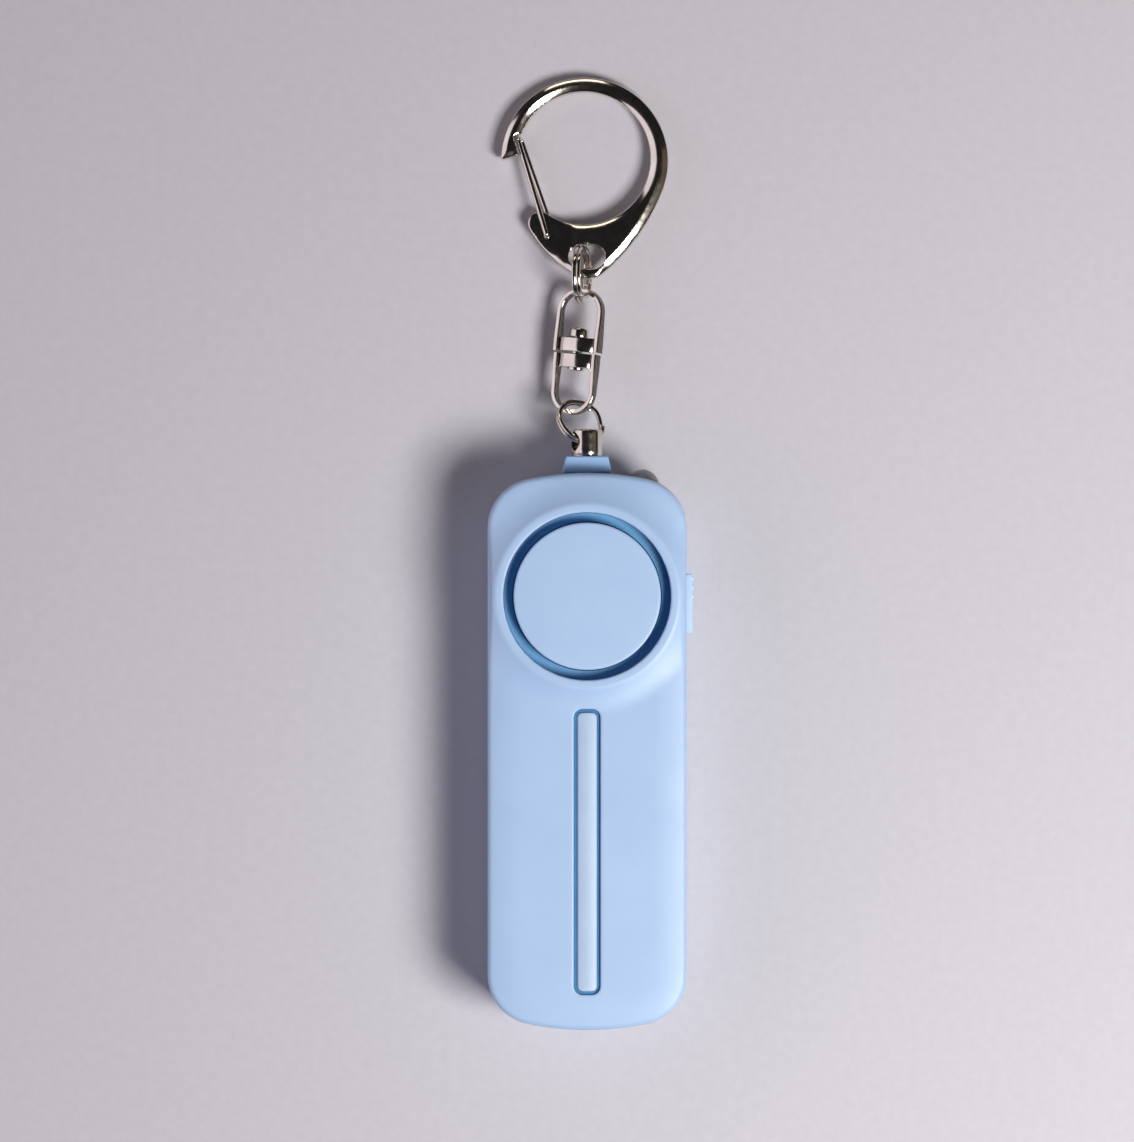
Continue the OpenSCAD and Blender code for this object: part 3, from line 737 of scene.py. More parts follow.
        vs, tris = fill(loops, pts, keep)
        m.tri(vs, tris, lambda x, y: (x, y, quarter(edge_depth(x, y), BACK_R) if edge_depth(x, y) > 0.004 else BACK_R))
        m.loops([at_z(door, 0), at_z(door, WALL)])
        bosses = [circle(x, y, 2.0 if i == 2 else 1.85, 40) for i, (x, y) in enumerate(SCREWS)]
        vs, tris = fill([OUT_IN, door] + bosses, [], lambda x, y: inside(OUT_IN, x, y) and not inside(door, x, y) and not any(inside(b, x, y) for b in bosses))
        m.tri(vs, tris, lambda x, y: (x, y, WALL))
        for (x, y), b in zip(SCREWS, bosses):
            bore, sink = circle(x, y, 1.05, 40), circle(x, y, 1.95, 40)
            m.loops([at_z(sink, 0), at_z(sink, 1.2), at_z(bore, 1.2), at_z(bore, PART_Z), at_z(b, PART_Z), at_z(b, WALL)])
    return m


def groove_wall_shade(p, n):
    """Upright faces in the groove round the siren cover; they get the grille's dark blue as painted shade."""
    return abs(n.z) < 0.3 and math.hypot(p.x, p.y - SIREN_Y) < GROOVE_R + 0.05 and 13.3 < p.z < 15.95


# The shell's groove walls take the grille blue as painted shade.
make("front_shell_skin", half(True), "case", ["front_shell"], CASE_BLUE, 50, second=GRILLE_AND_GROOVE_SHADE, pick=groove_wall_shade)
make("rear_shell_skin", half(False), "case", ["rear_shell"], CASE_BLUE, 50)

# ---------------------------------------------------------------- solids from simple rules


def temp_object(m):
    me = bpy.data.meshes.new("temp")
    me.from_pydata(m.v, [], m.f)
    bm = bmesh.new()
    bm.from_mesh(me)
    bmesh.ops.remove_doubles(bm, verts=bm.verts, dist=1e-5)
    bmesh.ops.recalc_face_normals(bm, faces=bm.faces)
    bm.to_mesh(me)
    bm.free()
    ob = bpy.data.objects.new("temp", me)
    bpy.context.scene.collection.objects.link(ob)
    return ob


def combine(a, b, op):
    """Union or difference of two closed meshes, worked out on the spot."""
    oa, ob = temp_object(a), temp_object(b)
    mod = oa.modifiers.new("cut", "BOOLEAN")
    mod.operation, mod.object, mod.solver = op, ob, "EXACT"
    bpy.context.view_layer.update()
    done = bpy.data.meshes.new_from_object(oa.evaluated_get(bpy.context.evaluated_depsgraph_get()))
    out = Mesh()
    out.v = [tuple(v.co) for v in done.vertices]
    out.f = [tuple(p.vertices) for p in done.polygons]
    for o in (oa, ob):
        me = o.data
        bpy.data.objects.remove(o)
        bpy.data.meshes.remove(me)
    bpy.data.meshes.remove(done)
    return out


def rbox(lo, hi, r, k=5, warp=None):
    """Box with all edges rounded."""
    m = Mesh()
    c = [(a + b) / 2 for a, b in zip(lo, hi)]
    h = [(b - a) / 2 - r for a, b in zip(lo, hi)]
    rows = []
    for side in (-1, 1):
        for i in range(k + 1):
            e = rad(90 * i / k - 90) if side < 0 else rad(90 * i / k)
            row = []
            for sx, sy, a0 in ((1, 1, 0), (-1, 1, 90), (-1, -1, 180), (1, -1, 270)):
                for j in range(k + 1):
                    a = rad(a0 + 90 * j / k)
                    row.append((c[0] + sx * h[0] + r * math.cos(e) * math.cos(a), c[1] + sy * h[1] + r * math.cos(e) * math.sin(a), c[2] + side * h[2] + r * math.sin(e)))
            rows.append(row)
    if warp:
        rows = [[warp(*p) for p in row] for row in rows]
    ids = m.loops(rows)
    for row in (ids[0], ids[-1]):
        m.f.append(tuple(row[q * (k + 1)] for q in range(4)))
    return m


def along_y(x, z):
    """Turns a shape made about Z so that its Z runs along +Y through (x, z)."""
    return Matrix.Translation((x, 0, z)) @ Matrix.Rotation(rad(-90), 4, "X")


# ---------------------------------------------------------------- siren, light bar, torch

SEG = 192
AT_SIREN = Matrix.Translation((0, SIREN_Y, 0))

cap = [(0, 16.0), (4, 15.995), (8, 15.98), (10.3, 15.955)]
cap += [(10.75 + 0.35 * math.sin(rad(a)), 15.6 + 0.34 * math.cos(rad(a))) for a in range(0, 91, 10)]
cap += [(11.1, 14.6), (11.1, 12.75), (10.95, 12.6), (10.1, 12.6), (10.0, 12.7), (10.0, 14.4), (0, 14.4)]
# The cap's side wall in the groove takes the grille blue as painted shade.
make("siren_cap_disc", lathe(cap, SEG, AT_SIREN), "case", ["siren_cap"], CAP_BLUE, 30, second=GRILLE_AND_GROOVE_SHADE, pick=groove_wall_shade)


def grille():
    """Channel under the groove: a dished floor, a foot under the case, and a bore that leaves the sound gap."""
    r_in, r_out, r_foot = 11.25, 12.55, 13.18
    z_lo, z_foot, z_floor = 12.62, 13.38, 13.52
    p = [(r_in + (r_out - r_in) * i / 8, z_floor + 0.07 * (2 * i / 8 - 1) ** 2) for i in range(9)]
    p[0] = (r_in, z_floor + 0.03)
    p.insert(1, (r_in + 0.04, z_floor + 0.065))
    p += [(r_out, z_foot), (r_foot, z_foot), (r_foot, z_lo), (r_in, z_lo), (r_in, 13.1)]
    return lathe(p, SEG, AT_SIREN, closed=True)


# The channel floor takes the grille blue, which is partly painted shade for the deep groove.
make("siren_grille_channel", grille(), "case", ["siren_grille"], GRILLE_AND_GROOVE_SHADE, 40)


def light_bar():
    """Frosted strip: crowned across its width, rounded edge, straight sides."""
    m = Mesh()
    rim = bar_loop(3, 42, 0.8)
    sieve = Sieve()
    for p in rim:
        sieve.add(*p)
    more = []
    for d in (0.02, 0.06, 0.12, 0.2, 0.3, 0.45, 0.65, 0.9, 1.15, 1.4):
        for p in bar_loop(3 - 2 * d, 42 - 2 * d, max(0.8 - d, 0.05)):
            if not sieve.near(*p, 0.03):
                sieve.add(*p)
                more.append(p)

    def top(x, y):
        d = -bar_gap(x, y, 3, 42, 0.8)
        return x, y, 15.0 - BAR_CROWN * (x / 1.5) ** 2 - quarter(d if d > 0.002 else 0, 0.28)

    vs, tris = fill([rim], more, lambda x, y: inside(rim, x, y))
    m.tri(vs, tris, top)
    m.loops([[top(x, y) for x, y in rim], at_z(rim, 13.9), at_z(rim, 13.4)])
    vs, tris = fill([rim], [], lambda x, y: inside(rim, x, y))
    m.tri(vs, tris, lambda x, y: (x, y, 13.4))
    return m


BAR_CROWN = 0.26
make("light_bar_lens", light_bar(), "case", ["light_bar"], BAR, 40)


def bar_flange():
    """Clear foot of the strip, with a raised rim that fills the gap round it; its dark blue is painted shade for that
    gap.
    """
    m = Mesh()
    foot, foot_in, rim, rim_in = bar_loop(5.4, 44.4, 1.7), bar_loop(5.2, 44.2, 1.6), bar_loop(3.9, 42.9, 1.25), bar_loop(3.08, 42.08, 0.84)
    m.loops([at_z(foot, 12.92), at_z(foot, 13.26), at_z(foot_in, 13.36), at_z(rim, 13.36), at_z(rim, BAR_RIM_Z), at_z(rim_in, BAR_RIM_Z), at_z(rim_in, 13.36)])
    for loop, z in ((foot, 12.92), (rim_in, 13.36)):
        vs, tris = fill([loop], [], lambda x, y: inside(loop, x, y))
        m.tri(vs, tris, lambda x, y: (x, y, z))
    return m


BAR_RIM_Z = 14.5


make("light_bar_flange", bar_flange(), "case", ["light_bar"], BAR_GAP_SHADE, 30)

AT_LED = along_y(8.45, 7.5)
led = [(0, 34.0), (2.7, 34.0), (2.85, 34.12), (2.85, 34.9), (2.75, 35.0), (2.5, 35.05)]
led += [(2.5, 40.15 - 0.9 * i) for i in range(4, -1, -1)]
led += [(2.5 * math.cos(rad(a)), 40.15 + 2.5 * math.sin(rad(a))) for a in range(6, 90, 6)] + [(0, 42.65)]
make("torch_led_dome", lathe(led, 72, AT_LED), "case", ["torch_led"], LENS, 40)
cup = [(0, 37.4), (0.85, 37.4), (0.95, 37.5), (0.95, 38.6), (0.88, 38.66), (0.8, 38.6), (0.45, 38.1), (0, 38.1)]
make("torch_led_cup", lathe(cup, 40, AT_LED), "case", [], STEEL, 35)
die = rbox((8.45 - 0.2, 38.1, 7.3), (8.45 + 0.2, 38.25, 7.7), 0.04, 3)
make("torch_led_die", die, "case", [], PIEZO, 35)

# ---------------------------------------------------------------- switch knob and pull-pin


def knob():
    y0, y1 = 17.7, 26.8
    m = rbox((12.9, y0, 5.5), (16.0, y1, 9.5), 0.3, 5)
    for i in range(3):
        ridge = rbox((15.6, y1 - 1.08 - 1.35 * i, 5.55), (16.24, y1 - 0.37 - 1.35 * i, 9.45), 0.17, 4)
        m = combine(m, ridge, "UNION")
    m = combine(m, rbox((12.02, y0 - 0.68, 4.82), (13.08, y1 + 0.68, 10.08), 0.15, 3), "UNION")
    return combine(m, rbox((9.82, 20.27, 6.52), (12.4, 22.23, 8.48), 0.15, 3), "UNION")


make("light_switch_slider", knob(), "light_switch", ["light_switch_knob"], KNOB_BLUE, 40)


def plug():
    def taper(x, y, z):
        t = min(max((y - 42.1) / 2.5, 0), 1)
        return x * (1 - t * 0.55 / 3.75), y, 7.5 + (z - 7.5) * (1 - 0.03 * t)

    m = rbox((-3.75, 42.1, 4.0), (3.75, 44.6, 11.0), 0.32, 6, taper)
    stem = lathe([(0, 39.6), (2.15, 39.6), (2.3, 39.75), (2.3, 42.6), (0, 42.6)], 48, along_y(0, 7.5))
    m = combine(m, stem, "UNION")
    return combine(m, lathe([(0, 38), (1.19, 38), (1.19, 46), (0, 46)], 40, along_y(0, 7.5)), "DIFFERENCE")


make("pin_plug_head", plug(), "pin", ["pin_plug"], PIN_BLUE, 40)

shank = [(0, 26.5), (0.42, 26.5), (0.5, 26.56), (1.16, 27.5), (1.18, 27.7), (1.18, 36), (1.18, 44.55), (0.8, 44.6), (0.8, 45.2), (0, 45.2)]
make("pin_shank_rod", lathe(shank, 48, along_y(0, 7.5)), "pin", ["pin_shank"], NICKEL, 40)

U1 = Vector((math.cos(rad(30)), 0, -math.sin(rad(30))))
E1 = Vector((-math.sin(rad(30)) * math.sin(rad(32)), math.cos(rad(32)), -math.cos(rad(30)) * math.sin(rad(32))))
N1 = U1.cross(E1)
F1 = Vector((0, 46.85, 7.5))


def frame_of(origin, x, y, z):
    return Matrix(((x[0], y[0], z[0], origin[0]), (x[1], y[1], z[1], origin[1]), (x[2], y[2], z[2], origin[2]), (0, 0, 0, 1)))


def ferrule():
    p = [(0, 44.62), (2.2, 44.62), (2.3, 44.7), (2.3, 44.9), (2.35, 45.02)]
    p += [(2.35, 45.5 + 0.5 * i) for i in range(6)] + [(2.35, 48.42), (2.29, 48.58), (2.17, 48.7), (1.95, 48.76), (1.2, 48.78), (0, 48.78)]
    m = lathe(p, 120, along_y(0, 7.5))
    lead = [(0, -4), (1.85, -4), (1.85, -2.45)]
    lead += [(1.85 - 0.58 * math.sin(rad(a)), -1.87 - 0.58 * math.cos(rad(a))) for a in (15, 30, 45, 60, 75, 90)]
    drill = lead + [(r, -z) for r, z in reversed(lead)]
    return combine(m, lathe(drill, 64, frame_of(F1, Vector((0, 1, 0)), U1.cross(Vector((0, 1, 0))), U1)), "DIFFERENCE")


make("pin_ferrule_sleeve", ferrule(), "pin", ["pin_ferrule"], NICKEL_BRUSHED, 35)

# ---------------------------------------------------------------- split rings


def split_ring(r, t, h, place, gap_at):
    """Two touching turns of flattened wire, with the step between them and both cut ends."""
    w, e = h / 2 - 0.015, (h / 4 + 0.004)
    n = 300
    reach = 360 - 27

    def step(a):
        s = min(max((a + 21) / 42, 0), 1)
        return s * s * (3 - 2 * s) * 2 - 1

    path = []
    for i in range(n + 1):
        a = -reach + 2 * reach * i / n
        path.append((r * math.cos(rad(a + gap_at)), r * math.sin(rad(a + gap_at)), e * step(a)))
    full = round_rect(t, w, min(t, w) * 0.36, 5)

    def section(i):
        k = min(i, n - i)
        s = 1.0 if k > 2 else (0.72, 0.9, 0.97)[k]
        return [(x * s, y * s) for x, y in full]

    m = sweep(path, section, (0, 0, 1))
    m.move(place)
    return m


RING1_C = F1 + E1 * 3.6
make("lower_split_ring_coil", split_ring(3.6, 0.7, 1.2, frame_of(RING1_C, U1, E1, N1), 15), "lower_ring", ["lower_split_ring"], NICKEL, 45)
RING2_C, LEAN2 = Vector((-0.75, 72.45, 4.48)), rad(13)
AT_RING2 = frame_of(RING2_C, Vector((0, 1, 0)), Vector((-math.sin(LEAN2), 0, math.cos(LEAN2))), Vector((math.cos(LEAN2), 0, math.sin(LEAN2))))
make("upper_split_ring_coil", split_ring(4.05, 0.75, 1.35, AT_RING2, 215), "upper_ring", ["upper_split_ring"], NICKEL, 45)

# ---------------------------------------------------------------- swivel

P0 = Vector((-1.45, 60.5, 4.3))
AT_SWIVEL = Matrix.Translation(P0) @ Matrix.Rotation(rad(-5.2), 4, "Z") @ Matrix.Rotation(rad(-1.2), 4, "X") @ Matrix.Rotation(rad(-23), 4, "Y")


def link(s, ro, cy, bore):
    """Bent strip with a half-round end, and the oval bar that the rivet goes through."""
    t, gap = 0.8, 0.15
    rm = ro - t / 2
    path, deep = [], []
    k = 16
    for i in range(k):
        path.append((rm, s * (gap + (abs(cy) - gap) * i / k), 0))
        deep.append(2.0 - 0.6 * ease((i / k - 0.25) / 0.75))
    for i in range(41):
        a = math.pi * i / 40
        path.append((rm * math.cos(a), cy + s * rm * math.sin(a), 0))
        deep.append(1.4)
    for i in range(k - 1, -1, -1):
        path.append((-rm, s * (gap + (abs(cy) - gap) * i / k), 0))
        deep.append(2.0 - 0.6 * ease((i / k - 0.25) / 0.75))
    m = sweep(path, lambda i: round_rect(t, deep[i], 0.2, 5), (0, 0, 1))
    y0, y1 = (gap, 2.3) if s > 0 else (-2.3, -gap)
    wide, deep_bar = ro - 0.64, 1.53
    bar = Mesh()
    rows = []
    for inset, y in ((None, y0), (0.16, y0), (0.05, y0 + 0.05), (0, y0 + 0.16), (0, (y0 + y1) / 2), (0, y1 - 0.16), (0.05, y1 - 0.05), (0.16, y1), (None, y1)):
        row = []
        for i in range(96):
            c, q = math.cos(TAU * i / 96), math.sin(TAU * i / 96)
            row.append((bore * c, y, bore * q) if inset is None else ((wide - inset) * c, y, (deep_bar - inset) * q))
        rows.append(row)
    ids = bar.loops(rows)
    bar.bridge(ids[-1], ids[0])
    m = combine(m, bar, "UNION")
    m.move(AT_SWIVEL)
    return m


def strip_side_painted_dark(p, n):
    """Faces on the cut sides of a link's strip, away from its bar; they get a near-black painted dark reflection."""
    q, v = AT_SWIVEL.inverted() @ p, AT_SWIVEL.to_3x3().inverted() @ n
    return abs(v.z) < 0.45 and (abs(q.x) > 2.72 and abs(v.x) > 0.6 or abs(q.y) > 3.2)


# The strips' sides take a near-black painted dark reflection.
make("swivel_lower_bow", link(-1, 3.55, -5.95, 0.9), "swivel_base", ["swivel_lower_link"], NICKEL, 40, second=NICKEL_SIDE_DARK_REFLECTION, pick=strip_side_painted_dark)
make("swivel_upper_bow", link(1, 3.75, 6.2, 0.96), "swivel_head", ["swivel_upper_link"], NICKEL, 40, second=NICKEL_SIDE_DARK_REFLECTION, pick=strip_side_painted_dark)


def rivet():
    p = [(0, -2.8), (0.9, -2.8), (1.2, -2.72), (1.3, -2.55), (1.3, -2.31), (0.89, -2.3), (0.89, 2.4)]
    p += [(1.36, 2.4), (1.47, 2.46), (1.5, 2.6), (1.5, 3.2), (1.49, 3.4), (1.42, 3.58), (1.28, 3.74), (1.05, 3.86), (0.7, 3.93), (0.3, 3.95), (0, 3.95)]
    m = lathe(p, 64, along_y(0, 0))
    m.move(AT_SWIVEL)
    return m


make("swivel_rivet_pin", rivet(), "swivel_base", ["swivel_rivet"], NICKEL, 40)

# ---------------------------------------------------------------- key clip

CLIP_T = 2.5
AT_CLIP = Matrix.Translation((0, 102.7, 0)) @ Matrix.Rotation(rad(-2.6), 4, "X") @ Matrix.Translation((0, -102.7, 1.25))
GATE_P, GATE_TIP = Vector((-6.1, 78.3)), Vector((-10.5, 93.15))
GATE_LEN = (GATE_TIP - GATE_P).length
GATE_G = (GATE_TIP - GATE_P) / GATE_LEN
GATE_H = Vector((-GATE_G.y, GATE_G.x))


def arc(c, r, a0, a1, n):
    return [(c[0] + r * math.cos(rad(a0 + (a1 - a0) * i / n)), c[1] + r * math.sin(rad(a0 + (a1 - a0) * i / n))) for i in range(n + 1)]


def wide_arc(a, ra, b, rb, r, n):
    """Wide arc on the right-hand side from circle a to circle b, touching both: bearings at both ends and the points between."""
    a, b = Vector(a), Vector(b)
    v = b - a
    d = v.length
    x = (d * d + (r - ra) ** 2 - (r - rb) ** 2) / (2 * d)
    c = a + (v * x + Vector((-v.y, v.x)) * math.sqrt((r - ra) ** 2 - x * x)) / d
    t0, t1 = (math.degrees(math.atan2(q.y - c.y, q.x - c.x)) for q in (a, b))
    return t0, t1, arc(c, r, t0, t1, n)[1:-1]


def clip_outline():
    fine = 1.0
    apex, out_c, ring = (0.2, 75.35), (-0.32, 89.9), (-0.47, 90.28)
    ra, ro, ri, rl = 3.6, 12.8, 10.2, 1.8
    la = rad(236)
    lobe = (ring[0] + (ri + rl) * math.cos(la), ring[1] + (ri + rl) * math.sin(la))
    right_lo, right_hi, right = wide_arc(apex, ra, out_c, ro, 32, int(36 * fine))
    left_hi, left_lo, left = wide_arc(lobe, rl, apex, ra, 22, int(24 * fine))
    p = arc(apex, ra, left_lo, right_lo, int(24 * fine)) + right + arc(out_c, ro, right_hi, 179.5, int(130 * fine))
    # hook end: a lip that stops the gate, and over it the notch for the gate's tip
    end_a, end_b = Vector(p[-1]), Vector((ring[0] + ri * math.cos(rad(178)), ring[1] + ri * math.sin(rad(178))))
    e = end_b - end_a

    def at_gate(u, w):
        return GATE_P + GATE_G * (GATE_LEN + u) + GATE_H * w

    low = at_gate(0, 0.52)
    lip_a = low - GATE_G * ((end_a - low).cross(e) / (-GATE_G).cross(e))
    lip_b, wall_a, wall_b = at_gate(-2.1, 0.52), at_gate(-2.1, 0.64), at_gate(0.7, 0.64)
    t = 0.5
    while (wall_b - GATE_H * t - Vector(ring)).length > ri:
        t += 0.002
    ledge = wall_b - GATE_H * t
    corners = [p[-2], tuple(end_a), tuple(lip_a), tuple(lip_b), tuple(wall_a), tuple(wall_b), tuple(ledge), (ledge.x + 0.4, ledge.y + 1.2)]
    hook = rounded(corners, [0, 0.4, 0.2, 0.05, 0.05, 0.3, 0.3, 0], 12)
    a_in = math.degrees(math.atan2(hook[-1][1] - ring[1], hook[-1][0] - ring[0]))
    notch = [q for q in hook if (Vector(q) - lip_a).dot(GATE_G) > -0.02 and (Vector(q) - wall_b).dot(GATE_H) < 0.02 and (Vector(q) - wall_b).dot(GATE_G) < 0.02]
    p = p[:-2] + hook[:-1]
    p += arc(ring, ri, a_in - 1.5, 236 - 360, int(150 * fine))[:-1]
    p += arc(lobe, rl, 56, 360 + left_hi, int(30 * fine)) + left
    # even spacing
    out = []
    for i, a in enumerate(p):
        b = p[(i + 1) % len(p)]
        n = max(1, int(math.hypot(b[0] - a[0], b[1] - a[1]) / (0.6 / fine)))
        out += [(a[0] + (b[0] - a[0]) * j / n, a[1] + (b[1] - a[1]) * j / n) for j in range(n)]
    clean = [out[0]]
    for q in out[1:]:
        if math.hypot(q[0] - clean[-1][0], q[1] - clean[-1][1]) > 0.02:
            clean.append(q)
    return clean, notch


BEVEL = [(0.0, 0.80), (0.03, 0.70), (0.08, 0.615), (0.15, 0.55)]
for _i in range(1, 15):
    _d = 0.15 + 1.05 * _i / 14
    BEVEL.append((_d, BEVEL[-1][1] - 1.05 / 14 * math.tan(rad(33 - 17 * (_i - 0.5) / 14))))
_last = BEVEL[-1][1]
BEVEL = [(d, (z - _last) + 0.03) for d, z in BEVEL] + [(1.26, 0.016), (1.33, 0.005), (1.42, 0.0)]


def bevel(d):
    """Drop of the clip's bevelled edge at distance d from its side."""
    if d >= BEVEL[-1][0]:
        return 0.0
    for (a, za), (b, zb) in zip(BEVEL, BEVEL[1:]):
        if d <= b:
            return za + (zb - za) * (d - a) / (b - a)
    return 0.0


def stadium(cx, cy, w, h, k=20):
    s, r = (w - h) / 2, h / 2
    right = [(cx + s + r * math.cos(rad(-90 + 180 * i / k)), cy + r * math.sin(rad(-90 + 180 * i / k))) for i in range(k + 1)]
    left = [(cx - s - r * math.cos(rad(-90 + 180 * i / k)), cy - r * math.sin(rad(-90 + 180 * i / k))) for i in range(k + 1)]
    return right + left


def clip_frame():
    m = Mesh()
    loop, notch = clip_outline()
    eye = stadium(0, 75.1, 5.6, 3.8)
    pivot = circle(GATE_P.x, GATE_P.y, 0.47, 24)
    n = len(loop)
    sa = math.atan2(GATE_G.y, GATE_G.x) - rad(12.5)
    sx, sy = Vector((math.cos(sa), math.sin(sa))), Vector((-math.sin(sa), math.cos(sa)))

    def seat(x, y):
        """0 on the full face, 1 on the flats where the gate's legs lie."""
        v = Vector((x, y)) - GATE_P
        a, b = v.dot(sx), v.dot(sy)
        out = max(-1.25 - a, a - 7.0, b - 1.75, -2.25 - b)
        return ease(1 - out / 4.2)

    def height(x, y, d, dn, de):
        top = CLIP_T / 2 - 0.76 * seat(x, y)
        slim = 1 - 0.3 * ease((-7.5 - x) / 3.5) * ease((y - 84) / 4) - 0.55 * ease((74.8 - y) / 1.6) * ease((3.4 - abs(x)) / 2)
        cut = slim * bevel(d / slim) * min(1.0, (top - 0.1) / BEVEL[0][1])
        return top - max(cut, quarter(dn, 0.14)) - quarter(de, 0.13)

    sieve = Sieve(0.3)
    pts = []
    for l in (loop, eye, pivot):
        for q in l:
            sieve.add(*q)

    def put(x, y, gap):
        if not inside(loop, x, y) or inside(eye, x, y) or math.hypot(x - GATE_P.x, y - GATE_P.y) < 0.47:
            return
        if not sieve.near(x, y, gap):
            sieve.add(x, y)
            pts.append((x, y))

    for k, (d, _z) in enumerate(BEVEL[1::1]):
        for i in range(n):
            a, b = Vector(loop[i - 1]), Vector(loop[(i + 1) % n])
            t = (b - a).normalized()
            put(loop[i][0] - t.y * d, loop[i][1] + t.x * d, 0.015 if k < 3 else 0.05)
    for d in (0.01, 0.03, 0.07, 0.13, 0.2):
        for q in stadium(0, 75.1, 5.6 + 2 * d, 3.8 + 2 * d):
            put(q[0], q[1], 0.02)
    g = 0.42
    for i in range(int(28 / g)):
        for j in range(int(33 / g)):
            put(-14 + g * i + (g / 2 if j % 2 else 0), 71 + g * 0.87 * j, 0.2)
    vs, tris = fill([loop, eye, pivot], pts, lambda x, y: inside(loop, x, y) and not inside(eye, x, y) and math.hypot(x - GATE_P.x, y - GATE_P.y) > 0.465)
    edge = set((round(x, 4), round(y, 4)) for x, y in loop)
    # the outline without the notch, as an open line
    on_notch = [gap_to(notch, x, y, False) < 1e-4 for x, y in loop]
    first = next(i for i in range(n) if on_notch[i - 1] and not on_notch[i])
    rim = [q for i in range(n) for q in [loop[(first + i) % n]] if not on_notch[(first + i) % n]]
    edge_eye = set((round(x, 4), round(y, 4)) for x, y in eye)
    zs = []
    for x, y in vs:
        key = (round(x, 4), round(y, 4))
        near_notch = gap_to(notch, x, y, False)
        dn = 0.0 if near_notch < 1e-4 else near_notch
        d = 0.0 if key in edge and near_notch > 1e-4 else gap_to(rim, x, y, False)
        de = 0.0 if key in edge_eye else (gap_to(eye, x, y) if math.hypot(x, y - 75.1) < 4 else 9.0)
        zs.append(height(x, y, d, dn, de))
    up = m.pts([(x, y, z) for (x, y), z in zip(vs, zs)])
    dn = m.pts([(x, y, -z) for (x, y), z in zip(vs, zs)])
    m.f += [tuple(up[i] for i in t) for t in tris] + [tuple(dn[i] for i in reversed(t)) for t in tris]
    # every open edge of the upper face is joined to the lower face
    count = {}
    for t in tris:
        for a, b in ((t[0], t[1]), (t[1], t[2]), (t[2], t[0])):
            count[(a, b)] = count.get((a, b), 0) + 1
    for a, b in count:
        if (b, a) not in count:
            m.f.append((up[a], dn[a], dn[b], up[b]))
    m.move(AT_CLIP)
    return m


make("clip_frame_body", clip_frame(), "clip", ["clip_frame"], NICKEL, 55)


def clip_gate():
    """One bent wire: both legs, the pin through the frame and the closed tip."""
    a, b = 1.25, 0.42
    mid = (GATE_LEN / 2, (a + b) / 2)
    flat = rounded([mid, (0, a), (0, -a), (GATE_LEN, -b), (GATE_LEN, b), mid], [0, 0.42, 0.42, 0.4, 0.4, 0], 9)[:-1]
    path = []
    for i, q in enumerate(flat):
        e = flat[(i + 1) % len(flat)]
        n = max(1, int(math.hypot(e[0] - q[0], e[1] - q[1]) / 0.8))
        path += [(q[0] + (e[0] - q[0]) * j / n, q[1] + (e[1] - q[1]) * j / n) for j in range(n)]

    def aside(u, z):
        """The rear leg bows inwards, so it lies beside the front one."""
        bow = -1.05 * ease(u / 3.2) + 0.6 * min(max((u - 3.2) / (GATE_LEN - 3.2), 0), 1)
        return bow * min(max((b - z) / (2 * b), 0), 1)

    line = [(GATE_P.x + GATE_G.x * u + GATE_H.x * aside(u, z), GATE_P.y + GATE_G.y * u + GATE_H.y * aside(u, z), z) for u, z in path]
    m = sweep(line, circle(0, 0, 0.38, 24), (GATE_H.x, GATE_H.y, 0), closed=True)
    m.move(AT_CLIP)
    return m


make("clip_gate_wire", clip_gate(), "gate", ["clip_gate"], NICKEL, 60)

# ---------------------------------------------------------------- back of the case


def battery_door():
    m = rbox((-10.98, -36.78, 0.0), (10.98, 8.48, 1.4), 0.22, 4)
    m = combine(m, rbox((-2.48, -40.08, 0.0), (2.48, -36.0, 1.4), 0.2, 4), "UNION")
    for s in (-1, 1):
        a, b = sorted((s * 8.8, s * 10.8))
        m = combine(m, rbox((a, 7.0, 1.0), (b, 8.46, 2.4), 0.12, 3), "UNION")
        m = combine(m, rbox((a, 8.0, 1.66), (b, 9.08, 2.4), 0.12, 3), "UNION")
    for i in range(5):
        m = combine(m, rbox((-5, 1.2 + 1.1 * i, -0.5), (5, 1.7 + 1.1 * i, 0.3), 0.14, 3), "DIFFERENCE")
    arrow = Mesh()
    tri = rounded([(0, -0.6), (-1.8, -0.6), (0, -2.6), (1.8, -0.6), (0, -0.6)], [0, 0.25, 0.25, 0.25, 0], 15)[:-1]
    lo, hi = arrow.loops([at_z(tri, -0.4), at_z(tri, 0.22)])
    arrow.fan(lo)
    arrow.fan(hi)
    m = combine(m, arrow, "DIFFERENCE")
    hole = lathe([(0, -1), (1.42, -1), (1.42, 0.04), (1.32, 0.14), (1.32, 0.9), (0.85, 0.9), (0.85, 3), (0, 3)], 40, Matrix.Translation((0, -38.7, 0)))
    return combine(m, hole, "DIFFERENCE")


make("battery_door_cover", battery_door(), "case", ["battery_door"], CASE_BLUE, 40)


